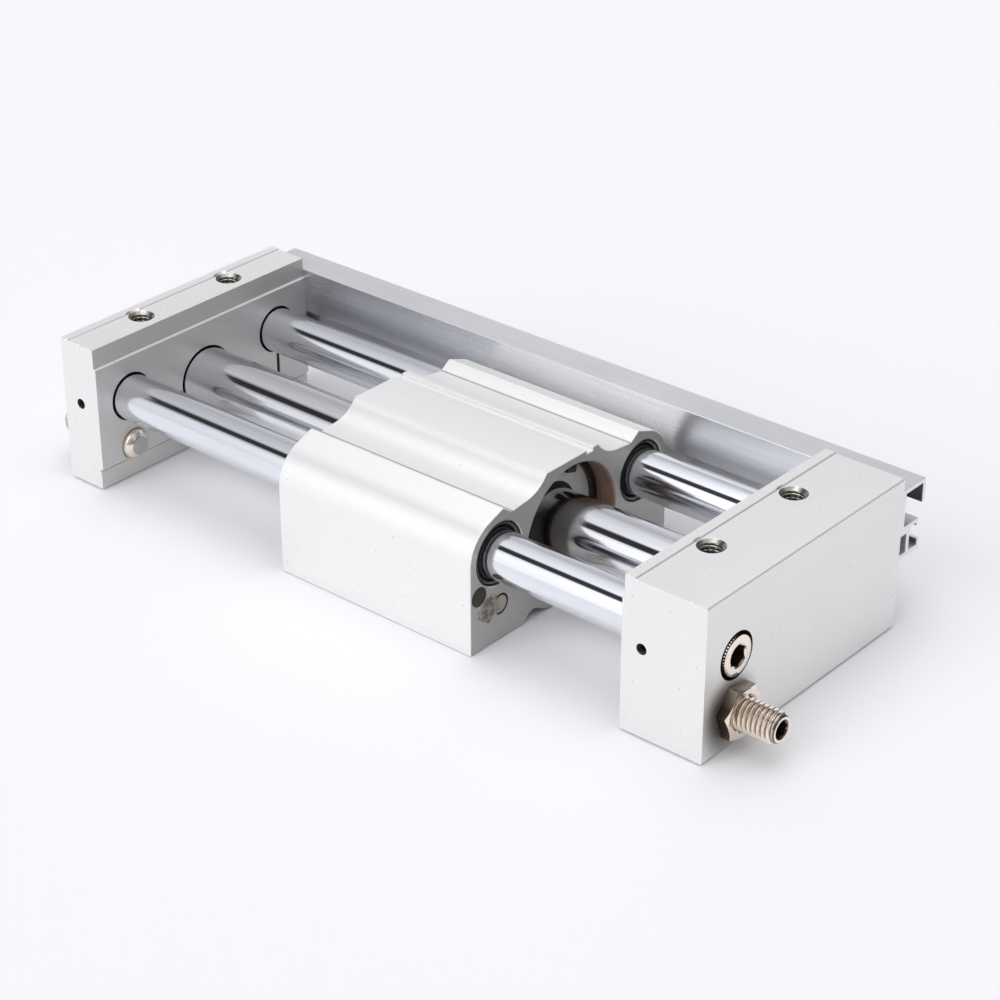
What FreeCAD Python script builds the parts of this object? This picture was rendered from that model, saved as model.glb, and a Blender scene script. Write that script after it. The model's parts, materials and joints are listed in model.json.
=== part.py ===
import FreeCAD, Part
import math
import os

import Sketcher
from FreeCAD import Placement, Rotation, Vector

# Magnetically coupled rodless cylinder with a guided carriage.
# Two end plates hold a thin tube and two guide shafts; a piston inside the tube drags
# the slide block along by magnets. The unit lies on the load face of its slide block.
# X runs along the stroke towards the near plate, Y towards the switch rail, Z up.
# The origin is the middle of the load face with the carriage at rest. Millimetres.

os.makedirs("parts", exist_ok=True)
doc = FreeCAD.newDocument("rodless_cylinder")

DIMENSIONS = {
    # Fits
    "run_clearance": 0.05,
    "seat_clearance": 0.02,
    # End plates
    "plate_width": 75.0,
    "plate_height": 39.5,
    "plate_lift": 0.5,
    "plate_gap": 167.4,
    "far_plate_thick": 12.3,
    "near_plate_thick": 22.5,
    "carriage_offset": 9.3,
    "strip_width": 2.9,
    "strip_rise": 0.35,
    "rebate_height": 5.6,
    "rebate_depth": 0.6,
    "edge_break": 0.3,
    "mouth_gap": 0.65,
    "mouth_depth": 1.2,
    # Tapped holes that fasten the unit, in the plate tops
    "mount_drill": 5.0,
    "mount_sink": 6.7,
    "mount_depth": 11.0,
    "mount_spacing": 31.0,
    "near_mount_inset": 7.1,
    "far_mount_inset": 6.3,
    # Guide shafts
    "shaft_dia": 12.0,
    "shaft_spacing": 52.4,
    "shaft_level": 23.0,
    "far_shaft_seat": 8.0,
    "near_shaft_seat": 12.0,
    "air_bore": 5.0,
    "shaft_port_drill": 4.2,
    "shaft_port_depth": 8.0,
    "shaft_tap_depth": 15.0,
    # Cylinder tube and its air chambers
    "tube_bore": 15.0,
    "tube_wall": 0.75,
    "tube_level": 18.6,
    "far_tube_seat": 7.5,
    "near_tube_seat": 10.0,
    "chamber_depth": 4.5,
    "shaft_chamber_dia": 8.0,
    "passage_dia": 3.0,
    "passage_level": 20.8,
    "plug_dia": 4.0,
    "plug_gap": 0.08,
    "plug_depth": 0.8,
    "port_drill": 4.2,
    "gasket_inset": 3.2,
    "gasket_width": 1.6,
    "gasket_wall": 1.2,
    # Stroke adjusting bolts and lock nuts
    "adjuster_dia": 8.0,
    "adjuster_level": 9.4,
    "near_stop_reach": 4.85,
    "far_stop_reach": 2.05,
    "near_tail": 12.7,
    "far_tail": 11.2,
    "stop_tip_dia": 6.0,
    "stop_bevel": 0.8,
    "adjuster_socket": 4.0,
    "adjuster_socket_depth": 5.0,
    "nut_flats": 12.0,
    "nut_thick": 3.0,
    "nut_bevel": 0.6,
    # Cap screw in the end of the front shaft
    "cap_screw_dia": 6.0,
    "cap_screw_length": 16.0,
    "cap_head_dia": 10.0,
    "cap_head_height": 6.0,
    "cap_socket": 5.0,
    "cap_socket_depth": 3.2,
    "cap_sink_dia": 11.6,
    "cap_sink_depth": 5.5,
    "cap_hole_dia": 6.5,
    # Set screws on the front shaft
    "set_screw_dia": 3.0,
    "set_screw_length": 3.6,
    "set_screw_socket": 1.5,
    "set_screw_socket_depth": 1.4,
    "near_set_inset": 5.5,
    "far_set_inset": 6.4,
    # Clamp of the rear shaft in the far plate
    "slit_width": 1.0,
    "clamp_screw_dia": 4.0,
    "clamp_screw_length": 14.0,
    "clamp_head_dia": 7.0,
    "clamp_head_height": 4.0,
    "clamp_socket": 3.0,
    "clamp_socket_depth": 2.0,
    "clamp_sink_dia": 7.6,
    "clamp_sink_depth": 4.4,
    "clamp_hole_dia": 4.4,
    "clamp_level": 7.5,
    # Switch rail
    "rail_depth": 9.3,
    "rail_height": 18.2,
    "rail_top": 36.4,
    "rail_wall": 1.2,
    "rail_lip": 6.2,
    "rail_shelf_level": 26.6,
    "rail_shelf_depth": 7.2,
    "rail_hook": 1.8,
    "rail_hook_wall": 0.9,
    "rail_foot_depth": 8.0,
    "rail_foot_lip": 2.8,
    "rail_slot_depth": 2.6,
    "rail_slot_top": 24.3,
    "rail_screw_dia": 3.0,
    "rail_screw_length": 8.0,
    "rail_screw_level": 31.2,
    "rail_head_dia": 5.5,
    "rail_head_height": 2.0,
    "rail_hole_dia": 3.4,
    # Slide block
    "block_length": 60.5,
    "block_width": 73.0,
    "block_top": 37.0,
    "crown_half": 9.5,
    "crown_drop": 1.0,
    "crown_slope": 0.8,
    "valley_outer": 21.9,
    "valley_inner": 17.4,
    "valley_outer_level": 32.3,
    "valley_inner_level": 32.8,
    "valley_radius": 10.0,
    "ear_lip": 24.9,
    "ear_lip_level": 34.4,
    "ear_land": 4.2,
    "keel_half": 7.0,
    "arch_half": 13.0,
    "arch_rise": 2.5,
    "arch_middle": 16.7,
    "pad_inner": 19.2,
    "keel_radius": 20.5,
    "arch_radius": 4.0,
    "mark_groove_place": 6.35,
    "mark_groove_width": 2.3,
    "mark_groove_depth": 0.9,
    "block_bore": 32.5,
    "bush_bore": 16.0,
    "load_drill": 4.2,
    "load_sink": 5.6,
    "load_depth": 9.0,
    "load_spacing_x": 30.0,
    "load_spacing_y": 50.0,
    # Bushings and wipers on the guide shafts
    "wiper_recess": 0.5,
    "wiper_thick": 2.6,
    "wiper_case_wall": 0.7,
    "bush_length": 20.0,
    # Outer magnet stack
    "clip_inset": 5.5,
    "clip_thick": 1.2,
    "clip_groove": 0.8,
    "clip_width": 2.4,
    "clip_gap": 2.4,
    "clip_lug_width": 3.4,
    "clip_lug_reach": 4.2,
    "clip_lug_hole": 1.6,
    "clip_lug_hole_inset": 2.8,
    "clip_turn": 18.0,
    "magnet_count": 4.0,
    "spacer_length": 8.03,
    "yoke_thick": 3.0,
    "outer_gap": 0.35,
    "tube_wear_width": 3.0,
    "tube_wear_wall": 1.0,
    "tube_wear_inset": 1.5,
    "tube_wiper_width": 2.0,
    "tube_wiper_wall": 1.1,
    "spacer_mouth": 2.0,
    # Switch magnets behind their plugs in the block ends
    "switch_magnet_dia": 5.0,
    "switch_magnet_depth": 9.0,
    "switch_plug_depth": 1.0,
    "switch_place": 33.4,
    "switch_level": 14.7,
    # Piston
    "inner_gap": 0.4,
    "rod_dia": 5.0,
    "rod_spare": 0.5,
    "piston_length": 10.0,
    "piston_gap": 0.35,
    "piston_ring_wall": 1.0,
    "piston_wear_inset": 1.5,
    "piston_wear_width": 3.0,
    "piston_seal_inset": 6.0,
    "piston_seal_width": 2.5,
    "piston_nut_dia": 8.0,
    "piston_nut_thick": 2.6,
    "bumper_inner": 9.2,
    "bumper_outer": 13.2,
    "bumper_thick": 3.6,
}

sheet = doc.addObject("Spreadsheet::Sheet", "dim")
for row, (alias, number) in enumerate(DIMENSIONS.items(), start=1):
    sheet.set(f"A{row}", alias)
    sheet.set(f"B{row}", str(number))
    sheet.setAlias(f"B{row}", alias)
doc.recompute()

# Places that several pieces share, as expressions on the sheet
FAR_IN = "(-dim.carriage_offset - dim.plate_gap / 2)"
FAR_OUT = f"({FAR_IN} - dim.far_plate_thick)"
NEAR_IN = "(dim.plate_gap / 2 - dim.carriage_offset)"
NEAR_OUT = f"({NEAR_IN} + dim.near_plate_thick)"
PLATE_BASE = "dim.plate_lift"
PLATE_TOP = "(dim.plate_lift + dim.plate_height)"
MAIN_TOP = f"({PLATE_TOP} - dim.strip_rise)"
PLATE_FRONT = "(-dim.plate_width / 2)"
PLATE_REAR = "(dim.plate_width / 2)"
FRONT_SHAFT = "(-dim.shaft_spacing / 2)"
REAR_SHAFT = "(dim.shaft_spacing / 2)"
SHAFT_SEAT = "(dim.shaft_dia / 2 + dim.seat_clearance)"
TUBE_OUTER = "(dim.tube_bore / 2 + dim.tube_wall)"
TUBE_SEAT = f"({TUBE_OUTER} + dim.seat_clearance)"
TUBE_RUN = f"({TUBE_OUTER} + dim.run_clearance)"
BORE_RUN = "(dim.tube_bore / 2 - dim.run_clearance)"
SHAFT_RUN = "(dim.shaft_dia / 2 + dim.run_clearance)"
GASKET_TUBE = f"({TUBE_SEAT} + dim.gasket_wall)"
GASKET_SHAFT = f"({SHAFT_SEAT} + dim.gasket_wall)"
PLUG_INNER = f"({REAR_SHAFT} + {SHAFT_SEAT} + dim.plug_gap)"
PLUG_LENGTH = f"({PLATE_REAR} - dim.plug_depth - {PLUG_INNER})"
PASSAGE_X = f"({NEAR_IN} + dim.near_shaft_seat + dim.passage_dia / 2)"
NEAR_SET_X = f"({NEAR_IN} + dim.near_set_inset)"
FAR_SET_X = f"({FAR_IN} - dim.far_set_inset)"
CLAMP_X = f"({FAR_IN} - dim.far_plate_thick / 2)"
NEAR_MID = f"({NEAR_IN} + dim.near_plate_thick / 2)"
BLOCK_END = "(dim.block_length / 2)"
CLIP_OUT = f"({BLOCK_END} - dim.clip_inset)"
CLIP_IN = f"({CLIP_OUT} - dim.clip_thick)"
STACK_END = f"({CLIP_IN} - dim.seat_clearance - dim.spacer_length)"
YOKES = "(dim.magnet_count + 1) * dim.yoke_thick"
MAGNET_THICK = f"((2 * {STACK_END} - {YOKES}) / dim.magnet_count)"
OUTER_RADIUS = "(dim.block_bore / 2 - dim.seat_clearance)"
PISTON_END = f"({STACK_END} + dim.piston_length)"

sub_parts = []


def value(expression):
    """Number that an expression on the sheet gives."""
    return float(sheet.evalExpression(expression))


def new_body(label, keep=True):
    """PartDesign body; a kept one is written out as a sub-part of its own."""
    body = doc.addObject("PartDesign::Body", label)
    body.Label = label
    if keep:
        sub_parts.append(body)
    return body


def place(body, x, y, z, turn=0.0):
    """Put a body's own origin at a point, turned about X by an angle in degrees."""
    body.Placement = Placement(Vector(), Rotation(Vector(1, 0, 0), turn))
    for axis, expression in zip("xyz", (x, y, z)):
        body.setExpression(f"Placement.Base.{axis}", expression)


def sketch_on(body, role, name, offset="0"):
    """Sketch on one of the body's origin planes, moved along that plane's normal."""
    plane = next(item for item in body.Origin.OriginFeatures if item.Role == role)
    sketch = body.newObject("Sketcher::SketchObject", name)
    sketch.AttachmentSupport = [(plane, "")]
    sketch.MapMode = "FlatFace"
    sketch.setExpression("AttachmentOffset.Base.z", offset)
    return sketch


def fix(sketch, kind, *where, expression):
    """Dimension a sketch element and bind the dimension to the sheet."""
    index = sketch.addConstraint(Sketcher.Constraint(kind, *where, value(expression)))
    sketch.setExpression(f"Constraints[{index}]", expression)


def arc_between(start, end, radius, side):
    """Arc from start to end whose centre lies left (side 1) or right (side -1) of the way."""
    along = end - start
    across = Vector(-along.y, along.x, 0).normalize()
    height = math.sqrt(max(radius**2 - (along.Length / 2) ** 2, 0))
    centre = (start + end) * 0.5 + across * (side * height)
    first, last = (start, end) if side > 0 else (end, start)
    angles = [math.atan2(p.y - centre.y, p.x - centre.x) for p in (first, last)]
    circle = Part.Circle(centre, Vector(0, 0, 1), radius)
    return Part.ArcOfCircle(circle, angles[0], angles[1])


def outline(sketch, corners):
    """Closed outline through corners (u, v); (u, v, radius, side) comes to its corner on an arc."""
    points = [Vector(value(c[0]), value(c[1]), 0) for c in corners]
    edges = []
    for index, corner in enumerate(corners):
        start = points[index - 1]
        if len(corner) == 2:
            edges.append((sketch.addGeometry(Part.LineSegment(start, points[index])), 1, 2))
            continue
        arc = arc_between(start, points[index], value(corner[2]), corner[3])
        ends = (1, 2) if corner[3] > 0 else (2, 1)
        edges.append((sketch.addGeometry(arc), *ends))
    for index, corner in enumerate(corners):
        geometry, start, end = edges[index]
        after, after_start, after_end = edges[(index + 1) % len(edges)]
        sketch.addConstraint(Sketcher.Constraint("Coincident", geometry, end, after, after_start))
        fix(sketch, "DistanceX", -1, 1, geometry, end, expression=corner[0])
        fix(sketch, "DistanceY", -1, 1, geometry, end, expression=corner[1])
        if len(corner) > 2:
            fix(sketch, "Radius", geometry, expression=corner[2])


def circles(sketch, rounds):
    """Circles (u, v, radius) in a sketch."""
    for u, v, radius in rounds:
        shape = Part.Circle(Vector(value(u), value(v), 0), Vector(0, 0, 1), value(radius))
        geometry = sketch.addGeometry(shape)
        fix(sketch, "DistanceX", -1, 1, geometry, 3, expression=u)
        fix(sketch, "DistanceY", -1, 1, geometry, 3, expression=v)
        fix(sketch, "Radius", geometry, expression=radius)


def hexagon(flats):
    """Corners of a hexagon about the origin, with a corner on the first axis."""
    turns = [math.radians(60 * step) for step in range(6)]
    across = f"{flats} / {2 * math.cos(math.radians(30)):.6f}"
    return [(f"{across} * {math.cos(a):.6f}", f"{across} * {math.sin(a):.6f}") for a in turns]


def pad(body, sketch, length, midplane=False, backwards=False):
    """Extrude a sketch along its normal, both ways from its plane, or against the normal."""
    feature = body.newObject("PartDesign::Pad", f"{sketch.Name}_pad")
    feature.Profile = sketch
    feature.setExpression("Length", length)
    feature.Midplane = midplane
    feature.Reversed = backwards
    doc.recompute()
    return feature


def pocket(body, sketch, depth, forwards=False):
    """Cut a sketch against its plane's normal, or along it, and check that material went."""
    before = body.Shape.Volume
    feature = body.newObject("PartDesign::Pocket", f"{sketch.Name}_pocket")
    feature.Profile = sketch
    feature.setExpression("Length", depth)
    feature.Reversed = forwards
    doc.recompute()
    if not body.Shape.Volume < before:
        raise ValueError(f"{sketch.Name} cuts nothing")
    return feature


def bore_x(body, name, start, depth, rounds, forwards):
    """Round holes along X from the plane x = start, towards +X or towards -X."""
    sketch = sketch_on(body, "YZ_Plane", name, start)
    circles(sketch, rounds)
    return pocket(body, sketch, depth, forwards)


def bore_y(body, name, start, depth, rounds, forwards):
    """Round holes (x, z, radius) along Y from the plane y = start, towards +Y or -Y."""
    sketch = sketch_on(body, "XZ_Plane", name, f"-({start})")
    circles(sketch, rounds)
    return pocket(body, sketch, depth, not forwards)


def sunk_holes(body, name, level, rounds, drill, sink, depth, upwards):
    """Tapped blind holes with a countersunk mouth, down from a level or up from it."""
    before = body.Shape.Volume
    sketch = sketch_on(body, "XY_Plane", name, level)
    circles(sketch, [(u, v, f"{drill} / 2") for u, v in rounds])
    doc.recompute()
    hole = body.newObject("PartDesign::Hole", f"{name}_hole")
    hole.Profile = sketch
    hole.DepthType = "Dimension"
    hole.DrillPoint = "Flat"
    hole.setExpression("Diameter", drill)
    hole.setExpression("Depth", depth)
    hole.HoleCutType = "Countersink"
    hole.HoleCutCustomValues = True
    hole.setExpression("HoleCutDiameter", sink)
    hole.setExpression("HoleCutCountersinkAngle", "90")
    hole.Reversed = upwards
    doc.recompute()
    if not body.Shape.Volume < before:
        raise ValueError(f"{name} cuts nothing")


def turned(label, profile, x, y, z, keep=True):
    """Piece turned about its own X axis from a closed profile of (x, radius) corners."""
    body = new_body(label, keep)
    sketch = sketch_on(body, "XZ_Plane", f"{label}_profile")
    outline(sketch, profile)
    feature = body.newObject("PartDesign::Revolution", f"{label}_turn")
    feature.Profile = sketch
    feature.ReferenceAxis = (sketch, ["H_Axis"])
    feature.Angle = 360
    place(body, x, y, z)
    doc.recompute()
    return body


def ring(label, start, length, inner, outer, y, z, keep=False):
    """Plain turned ring from x = start over a length."""
    profile = [("0", inner), (length, inner), (length, outer), ("0", outer)]
    return turned(label, profile, start, y, z, keep)


def group(label, pieces):
    """Like pieces that share one sub-part as separate solids."""
    compound = doc.addObject("Part::Compound", label)
    compound.Label = label
    compound.Links = pieces
    sub_parts.append(compound)
    return compound


def break_edges(body, feature, chosen):
    """Chamfer the edges of a feature that a test picks out."""
    edges = [f"Edge{i}" for i, edge in enumerate(feature.Shape.Edges, start=1) if chosen(edge)]
    chamfer = body.newObject("PartDesign::Chamfer", f"{feature.Name}_break")
    chamfer.Base = (feature, edges)
    chamfer.setExpression("Size", "dim.edge_break")
    doc.recompute()


def on_plane_x(level):
    """Test for edges that lie in the plane x = level."""
    return lambda edge: abs(edge.BoundBox.XMin - level) < 1e-4 > abs(edge.BoundBox.XMax - level)


def socket(body, name, face, flats, depth, forwards):
    """Hexagon socket in a turned piece, from its own plane x = face."""
    sketch = sketch_on(body, "YZ_Plane", name, face)
    outline(sketch, hexagon(flats))
    pocket(body, sketch, depth, forwards)


def mirrored(rounds):
    """Rounds (y, z, radius) on both sides of the tube."""
    return rounds + [(f"-({y})", z, radius) for y, z, radius in rounds]


# Far plate: an extrusion across the unit, rebated inside, with a raised strip on top
def make_far_plate():
    body = new_body("far_plate")
    step = f"({FAR_IN} - dim.rebate_depth)"
    strip = f"({FAR_OUT} + dim.strip_width)"
    profile = sketch_on(body, "XZ_Plane", "far_section")
    outline(profile, [
        (FAR_OUT, PLATE_BASE),
        (step, PLATE_BASE),
        (step, f"{PLATE_BASE} + dim.rebate_height"),
        (FAR_IN, f"{PLATE_BASE} + dim.rebate_height"),
        (FAR_IN, f"{PLATE_TOP} - dim.rebate_height"),
        (step, f"{PLATE_TOP} - dim.rebate_height"),
        (step, MAIN_TOP),
        (strip, MAIN_TOP),
        (strip, PLATE_TOP),
        (FAR_OUT, PLATE_TOP),
    ])
    blank = pad(body, profile, "dim.plate_width", midplane=True)
    break_edges(body, blank, on_plane_x(value(FAR_OUT)))
    bore_x(body, "far_seats", FAR_IN, "dim.far_shaft_seat",
           [(FRONT_SHAFT, "dim.shaft_level", SHAFT_SEAT)], forwards=False)
    bore_x(body, "far_tube_bore", FAR_IN, "dim.far_tube_seat",
           [("0", "dim.tube_level", TUBE_SEAT)], forwards=False)
    bore_x(body, "far_through", FAR_IN, "dim.far_plate_thick", [
        (REAR_SHAFT, "dim.shaft_level", SHAFT_SEAT),
        (FRONT_SHAFT, "dim.adjuster_level", "dim.adjuster_dia / 2 + dim.run_clearance"),
    ], forwards=False)
    bore_x(body, "far_mouths", FAR_IN, "dim.mouth_depth", [
        (FRONT_SHAFT, "dim.shaft_level", "dim.shaft_dia / 2 + dim.mouth_gap"),
        (REAR_SHAFT, "dim.shaft_level", "dim.shaft_dia / 2 + dim.mouth_gap"),
        ("0", "dim.tube_level", f"{TUBE_OUTER} + dim.mouth_gap"),
    ], forwards=False)
    bore_x(body, "far_gasket_groove", f"{FAR_IN} - dim.gasket_inset", "dim.gasket_width",
           [("0", "dim.tube_level", f"{GASKET_TUBE} + dim.seat_clearance")], forwards=False)
    bore_x(body, "far_port", FAR_OUT, "dim.far_plate_thick - dim.far_tube_seat",
           [("0", "dim.tube_level", "dim.port_drill / 2")], forwards=True)
    slit = sketch_on(body, "YZ_Plane", "far_slit", FAR_IN)
    top = "dim.shaft_level - dim.shaft_dia / 4"
    outline(slit, [
        (f"{REAR_SHAFT} - dim.slit_width / 2", PLATE_BASE),
        (f"{REAR_SHAFT} + dim.slit_width / 2", PLATE_BASE),
        (f"{REAR_SHAFT} + dim.slit_width / 2", top),
        (f"{REAR_SHAFT} - dim.slit_width / 2", top),
    ])
    pocket(body, slit, "dim.far_plate_thick")
    bore_y(body, "far_clamp_tap", PLATE_REAR, "dim.clamp_sink_depth + dim.clamp_screw_length",
           [(CLAMP_X, "dim.clamp_level", "dim.clamp_screw_dia / 2 + dim.seat_clearance")],
           forwards=False)
    bore_y(body, "far_clamp_hole", PLATE_REAR, f"{PLATE_REAR} - {REAR_SHAFT}",
           [(CLAMP_X, "dim.clamp_level", "dim.clamp_hole_dia / 2")], forwards=False)
    bore_y(body, "far_clamp_sink", PLATE_REAR, "dim.clamp_sink_depth",
           [(CLAMP_X, "dim.clamp_level", "dim.clamp_sink_dia / 2")], forwards=False)
    plate_sides(body, "far", FAR_SET_X, CLAMP_X)
    hole_x = f"{FAR_IN} - dim.far_mount_inset"
    mount_holes(body, "far_mount", hole_x)


def mount_holes(body, name, x):
    """Two tapped holes in a plate's top, either side of the tube."""
    rounds = [(x, "-dim.mount_spacing / 2"), (x, "dim.mount_spacing / 2")]
    sunk_holes(body, name, MAIN_TOP, rounds, "dim.mount_drill", "dim.mount_sink",
               "dim.mount_depth", upwards=False)


def plate_sides(body, name, set_x, rail_x):
    """Set screw hole in a plate's front face and rail screw hole in its rear face."""
    bore_y(body, f"{name}_set", PLATE_FRONT, f"{FRONT_SHAFT} - {PLATE_FRONT}",
           [(set_x, "dim.shaft_level", "dim.set_screw_dia / 2 + dim.seat_clearance")],
           forwards=True)
    bore_y(body, f"{name}_rail_tap", PLATE_REAR, "dim.rail_screw_length",
           [(rail_x, "dim.rail_screw_level", "dim.rail_screw_dia / 2 + dim.seat_clearance")],
           forwards=False)


# Near plate: the thicker extrusion, with the air chambers that join tube and rear shaft
def make_near_plate():
    body = new_body("near_plate")
    step = f"({NEAR_IN} + dim.rebate_depth)"
    strip = f"({step} + dim.strip_width)"
    profile = sketch_on(body, "XZ_Plane", "near_section")
    outline(profile, [
        (step, PLATE_BASE),
        (NEAR_OUT, PLATE_BASE),
        (NEAR_OUT, MAIN_TOP),
        (strip, MAIN_TOP),
        (strip, PLATE_TOP),
        (step, PLATE_TOP),
        (step, f"{PLATE_TOP} - dim.rebate_height"),
        (NEAR_IN, f"{PLATE_TOP} - dim.rebate_height"),
        (NEAR_IN, f"{PLATE_BASE} + dim.rebate_height"),
        (step, f"{PLATE_BASE} + dim.rebate_height"),
    ])
    blank = pad(body, profile, "dim.plate_width", midplane=True)
    break_edges(body, blank, on_plane_x(value(NEAR_OUT)))
    bore_x(body, "near_shaft_seats", NEAR_IN, "dim.near_shaft_seat", [
        (FRONT_SHAFT, "dim.shaft_level", SHAFT_SEAT),
        (REAR_SHAFT, "dim.shaft_level", SHAFT_SEAT),
    ], forwards=True)
    bore_x(body, "near_tube_bore", NEAR_IN, "dim.near_tube_seat",
           [("0", "dim.tube_level", TUBE_SEAT)], forwards=True)
    bore_x(body, "near_chambers", NEAR_IN, "dim.near_tube_seat + dim.chamber_depth", [
        ("0", "dim.tube_level", "dim.tube_bore / 2"),
        (REAR_SHAFT, "dim.shaft_level", "dim.shaft_chamber_dia / 2"),
    ], forwards=True)
    bore_x(body, "near_mouths", NEAR_IN, "dim.mouth_depth", [
        (FRONT_SHAFT, "dim.shaft_level", "dim.shaft_dia / 2 + dim.mouth_gap"),
        (REAR_SHAFT, "dim.shaft_level", "dim.shaft_dia / 2 + dim.mouth_gap"),
        ("0", "dim.tube_level", f"{TUBE_OUTER} + dim.mouth_gap"),
    ], forwards=True)
    bore_x(body, "near_gasket_grooves", f"{NEAR_IN} + dim.gasket_inset", "dim.gasket_width", [
        ("0", "dim.tube_level", f"{GASKET_TUBE} + dim.seat_clearance"),
        (REAR_SHAFT, "dim.shaft_level", f"{GASKET_SHAFT} + dim.seat_clearance"),
    ], forwards=True)
    bore_x(body, "near_adjuster_hole", NEAR_IN, "dim.near_plate_thick",
           [(FRONT_SHAFT, "dim.adjuster_level", "dim.adjuster_dia / 2 + dim.run_clearance")],
           forwards=True)
    bore_x(body, "near_cap_hole", NEAR_OUT, "dim.near_plate_thick - dim.near_shaft_seat",
           [(FRONT_SHAFT, "dim.shaft_level", "dim.cap_hole_dia / 2")], forwards=False)
    bore_x(body, "near_cap_sink", NEAR_OUT, "dim.cap_sink_depth",
           [(FRONT_SHAFT, "dim.shaft_level", "dim.cap_sink_dia / 2")], forwards=False)
    bore_y(body, "near_passage", PLATE_REAR, PLATE_REAR,
           [(PASSAGE_X, "dim.passage_level", "dim.passage_dia / 2")], forwards=False)
    bore_y(body, "near_plug_seat", PLATE_REAR, f"{PLUG_LENGTH} + dim.plug_depth",
           [(PASSAGE_X, "dim.passage_level", "dim.plug_dia / 2 + dim.seat_clearance")],
           forwards=False)
    plate_sides(body, "near", NEAR_SET_X, NEAR_MID)
    hole_x = f"{NEAR_IN} + dim.near_mount_inset"
    mount_holes(body, "near_mount", hole_x)


# Tube, shafts and their gaskets
def make_tube_and_shafts():
    tube_start = f"({FAR_IN} - dim.far_tube_seat)"
    tube_length = "(dim.plate_gap + dim.far_tube_seat + dim.near_tube_seat)"
    ring("cylinder_tube", tube_start, tube_length, "dim.tube_bore / 2", TUBE_OUTER,
         "0", "dim.tube_level", keep=True)
    front_start = f"({FAR_IN} - dim.far_shaft_seat)"
    front_length = "(dim.plate_gap + dim.far_shaft_seat + dim.near_shaft_seat)"
    tap = "dim.cap_screw_dia / 2 + dim.seat_clearance"
    turned("front_guide_shaft", [
        ("0", "0"),
        (f"{front_length} - dim.shaft_tap_depth", "0"),
        (f"{front_length} - dim.shaft_tap_depth", tap),
        (front_length, tap),
        (front_length, "dim.shaft_dia / 2 - dim.edge_break"),
        (f"{front_length} - dim.edge_break", "dim.shaft_dia / 2"),
        ("dim.edge_break", "dim.shaft_dia / 2"),
        ("0", "dim.shaft_dia / 2 - dim.edge_break"),
    ], front_start, FRONT_SHAFT, "dim.shaft_level")
    rear_length = "(dim.plate_gap + dim.far_plate_thick + dim.near_shaft_seat)"
    turned("rear_guide_shaft", [
        ("0", "dim.shaft_port_drill / 2"),
        ("dim.shaft_port_depth", "dim.shaft_port_drill / 2"),
        ("dim.shaft_port_depth", "dim.air_bore / 2"),
        (rear_length, "dim.air_bore / 2"),
        (rear_length, "dim.shaft_dia / 2"),
        ("dim.edge_break", "dim.shaft_dia / 2"),
        ("0", "dim.shaft_dia / 2 - dim.edge_break"),
    ], FAR_OUT, REAR_SHAFT, "dim.shaft_level")
    width = "dim.gasket_width - 2 * dim.seat_clearance"
    far_start = f"{FAR_IN} - dim.gasket_inset - dim.gasket_width + dim.seat_clearance"
    near_start = f"{NEAR_IN} + dim.gasket_inset + dim.seat_clearance"
    group("tube_gaskets", [
        ring("far_tube_gasket", far_start, width, TUBE_SEAT, GASKET_TUBE, "0", "dim.tube_level"),
        ring("near_tube_gasket", near_start, width, TUBE_SEAT, GASKET_TUBE, "0", "dim.tube_level"),
    ])
    ring("shaft_gasket", near_start, width, "dim.shaft_dia / 2 + dim.seat_clearance",
         GASKET_SHAFT, REAR_SHAFT, "dim.shaft_level", keep=True)


def across(body, x, y, z, towards):
    """Turn a piece made along X so that it points along +Y (1) or -Y (-1), with its start at a point."""
    body.Placement = Placement(Vector(), Rotation(Vector(0, 0, 1), 90 * towards))
    for axis, expression in zip("xyz", (x, y, z)):
        body.setExpression(f"Placement.Base.{axis}", expression)


def headed_screw(label, dia, length, head_dia, head_height, keep=True):
    """Screw along X with its head's bearing face at 0, its shank towards -X and the head towards +X."""
    bevel = "dim.edge_break"
    return turned(label, [
        (f"-{length}", "0"),
        (head_height, "0"),
        (head_height, f"{head_dia} / 2 - {bevel}"),
        (f"{head_height} - {bevel}", f"{head_dia} / 2"),
        ("0", f"{head_dia} / 2"),
        ("0", f"{dia} / 2"),
        (f"{bevel} - {length}", f"{dia} / 2"),
        (f"-{length}", f"{dia} / 2 - {bevel}"),
    ], "0", "0", "0", keep)


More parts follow.
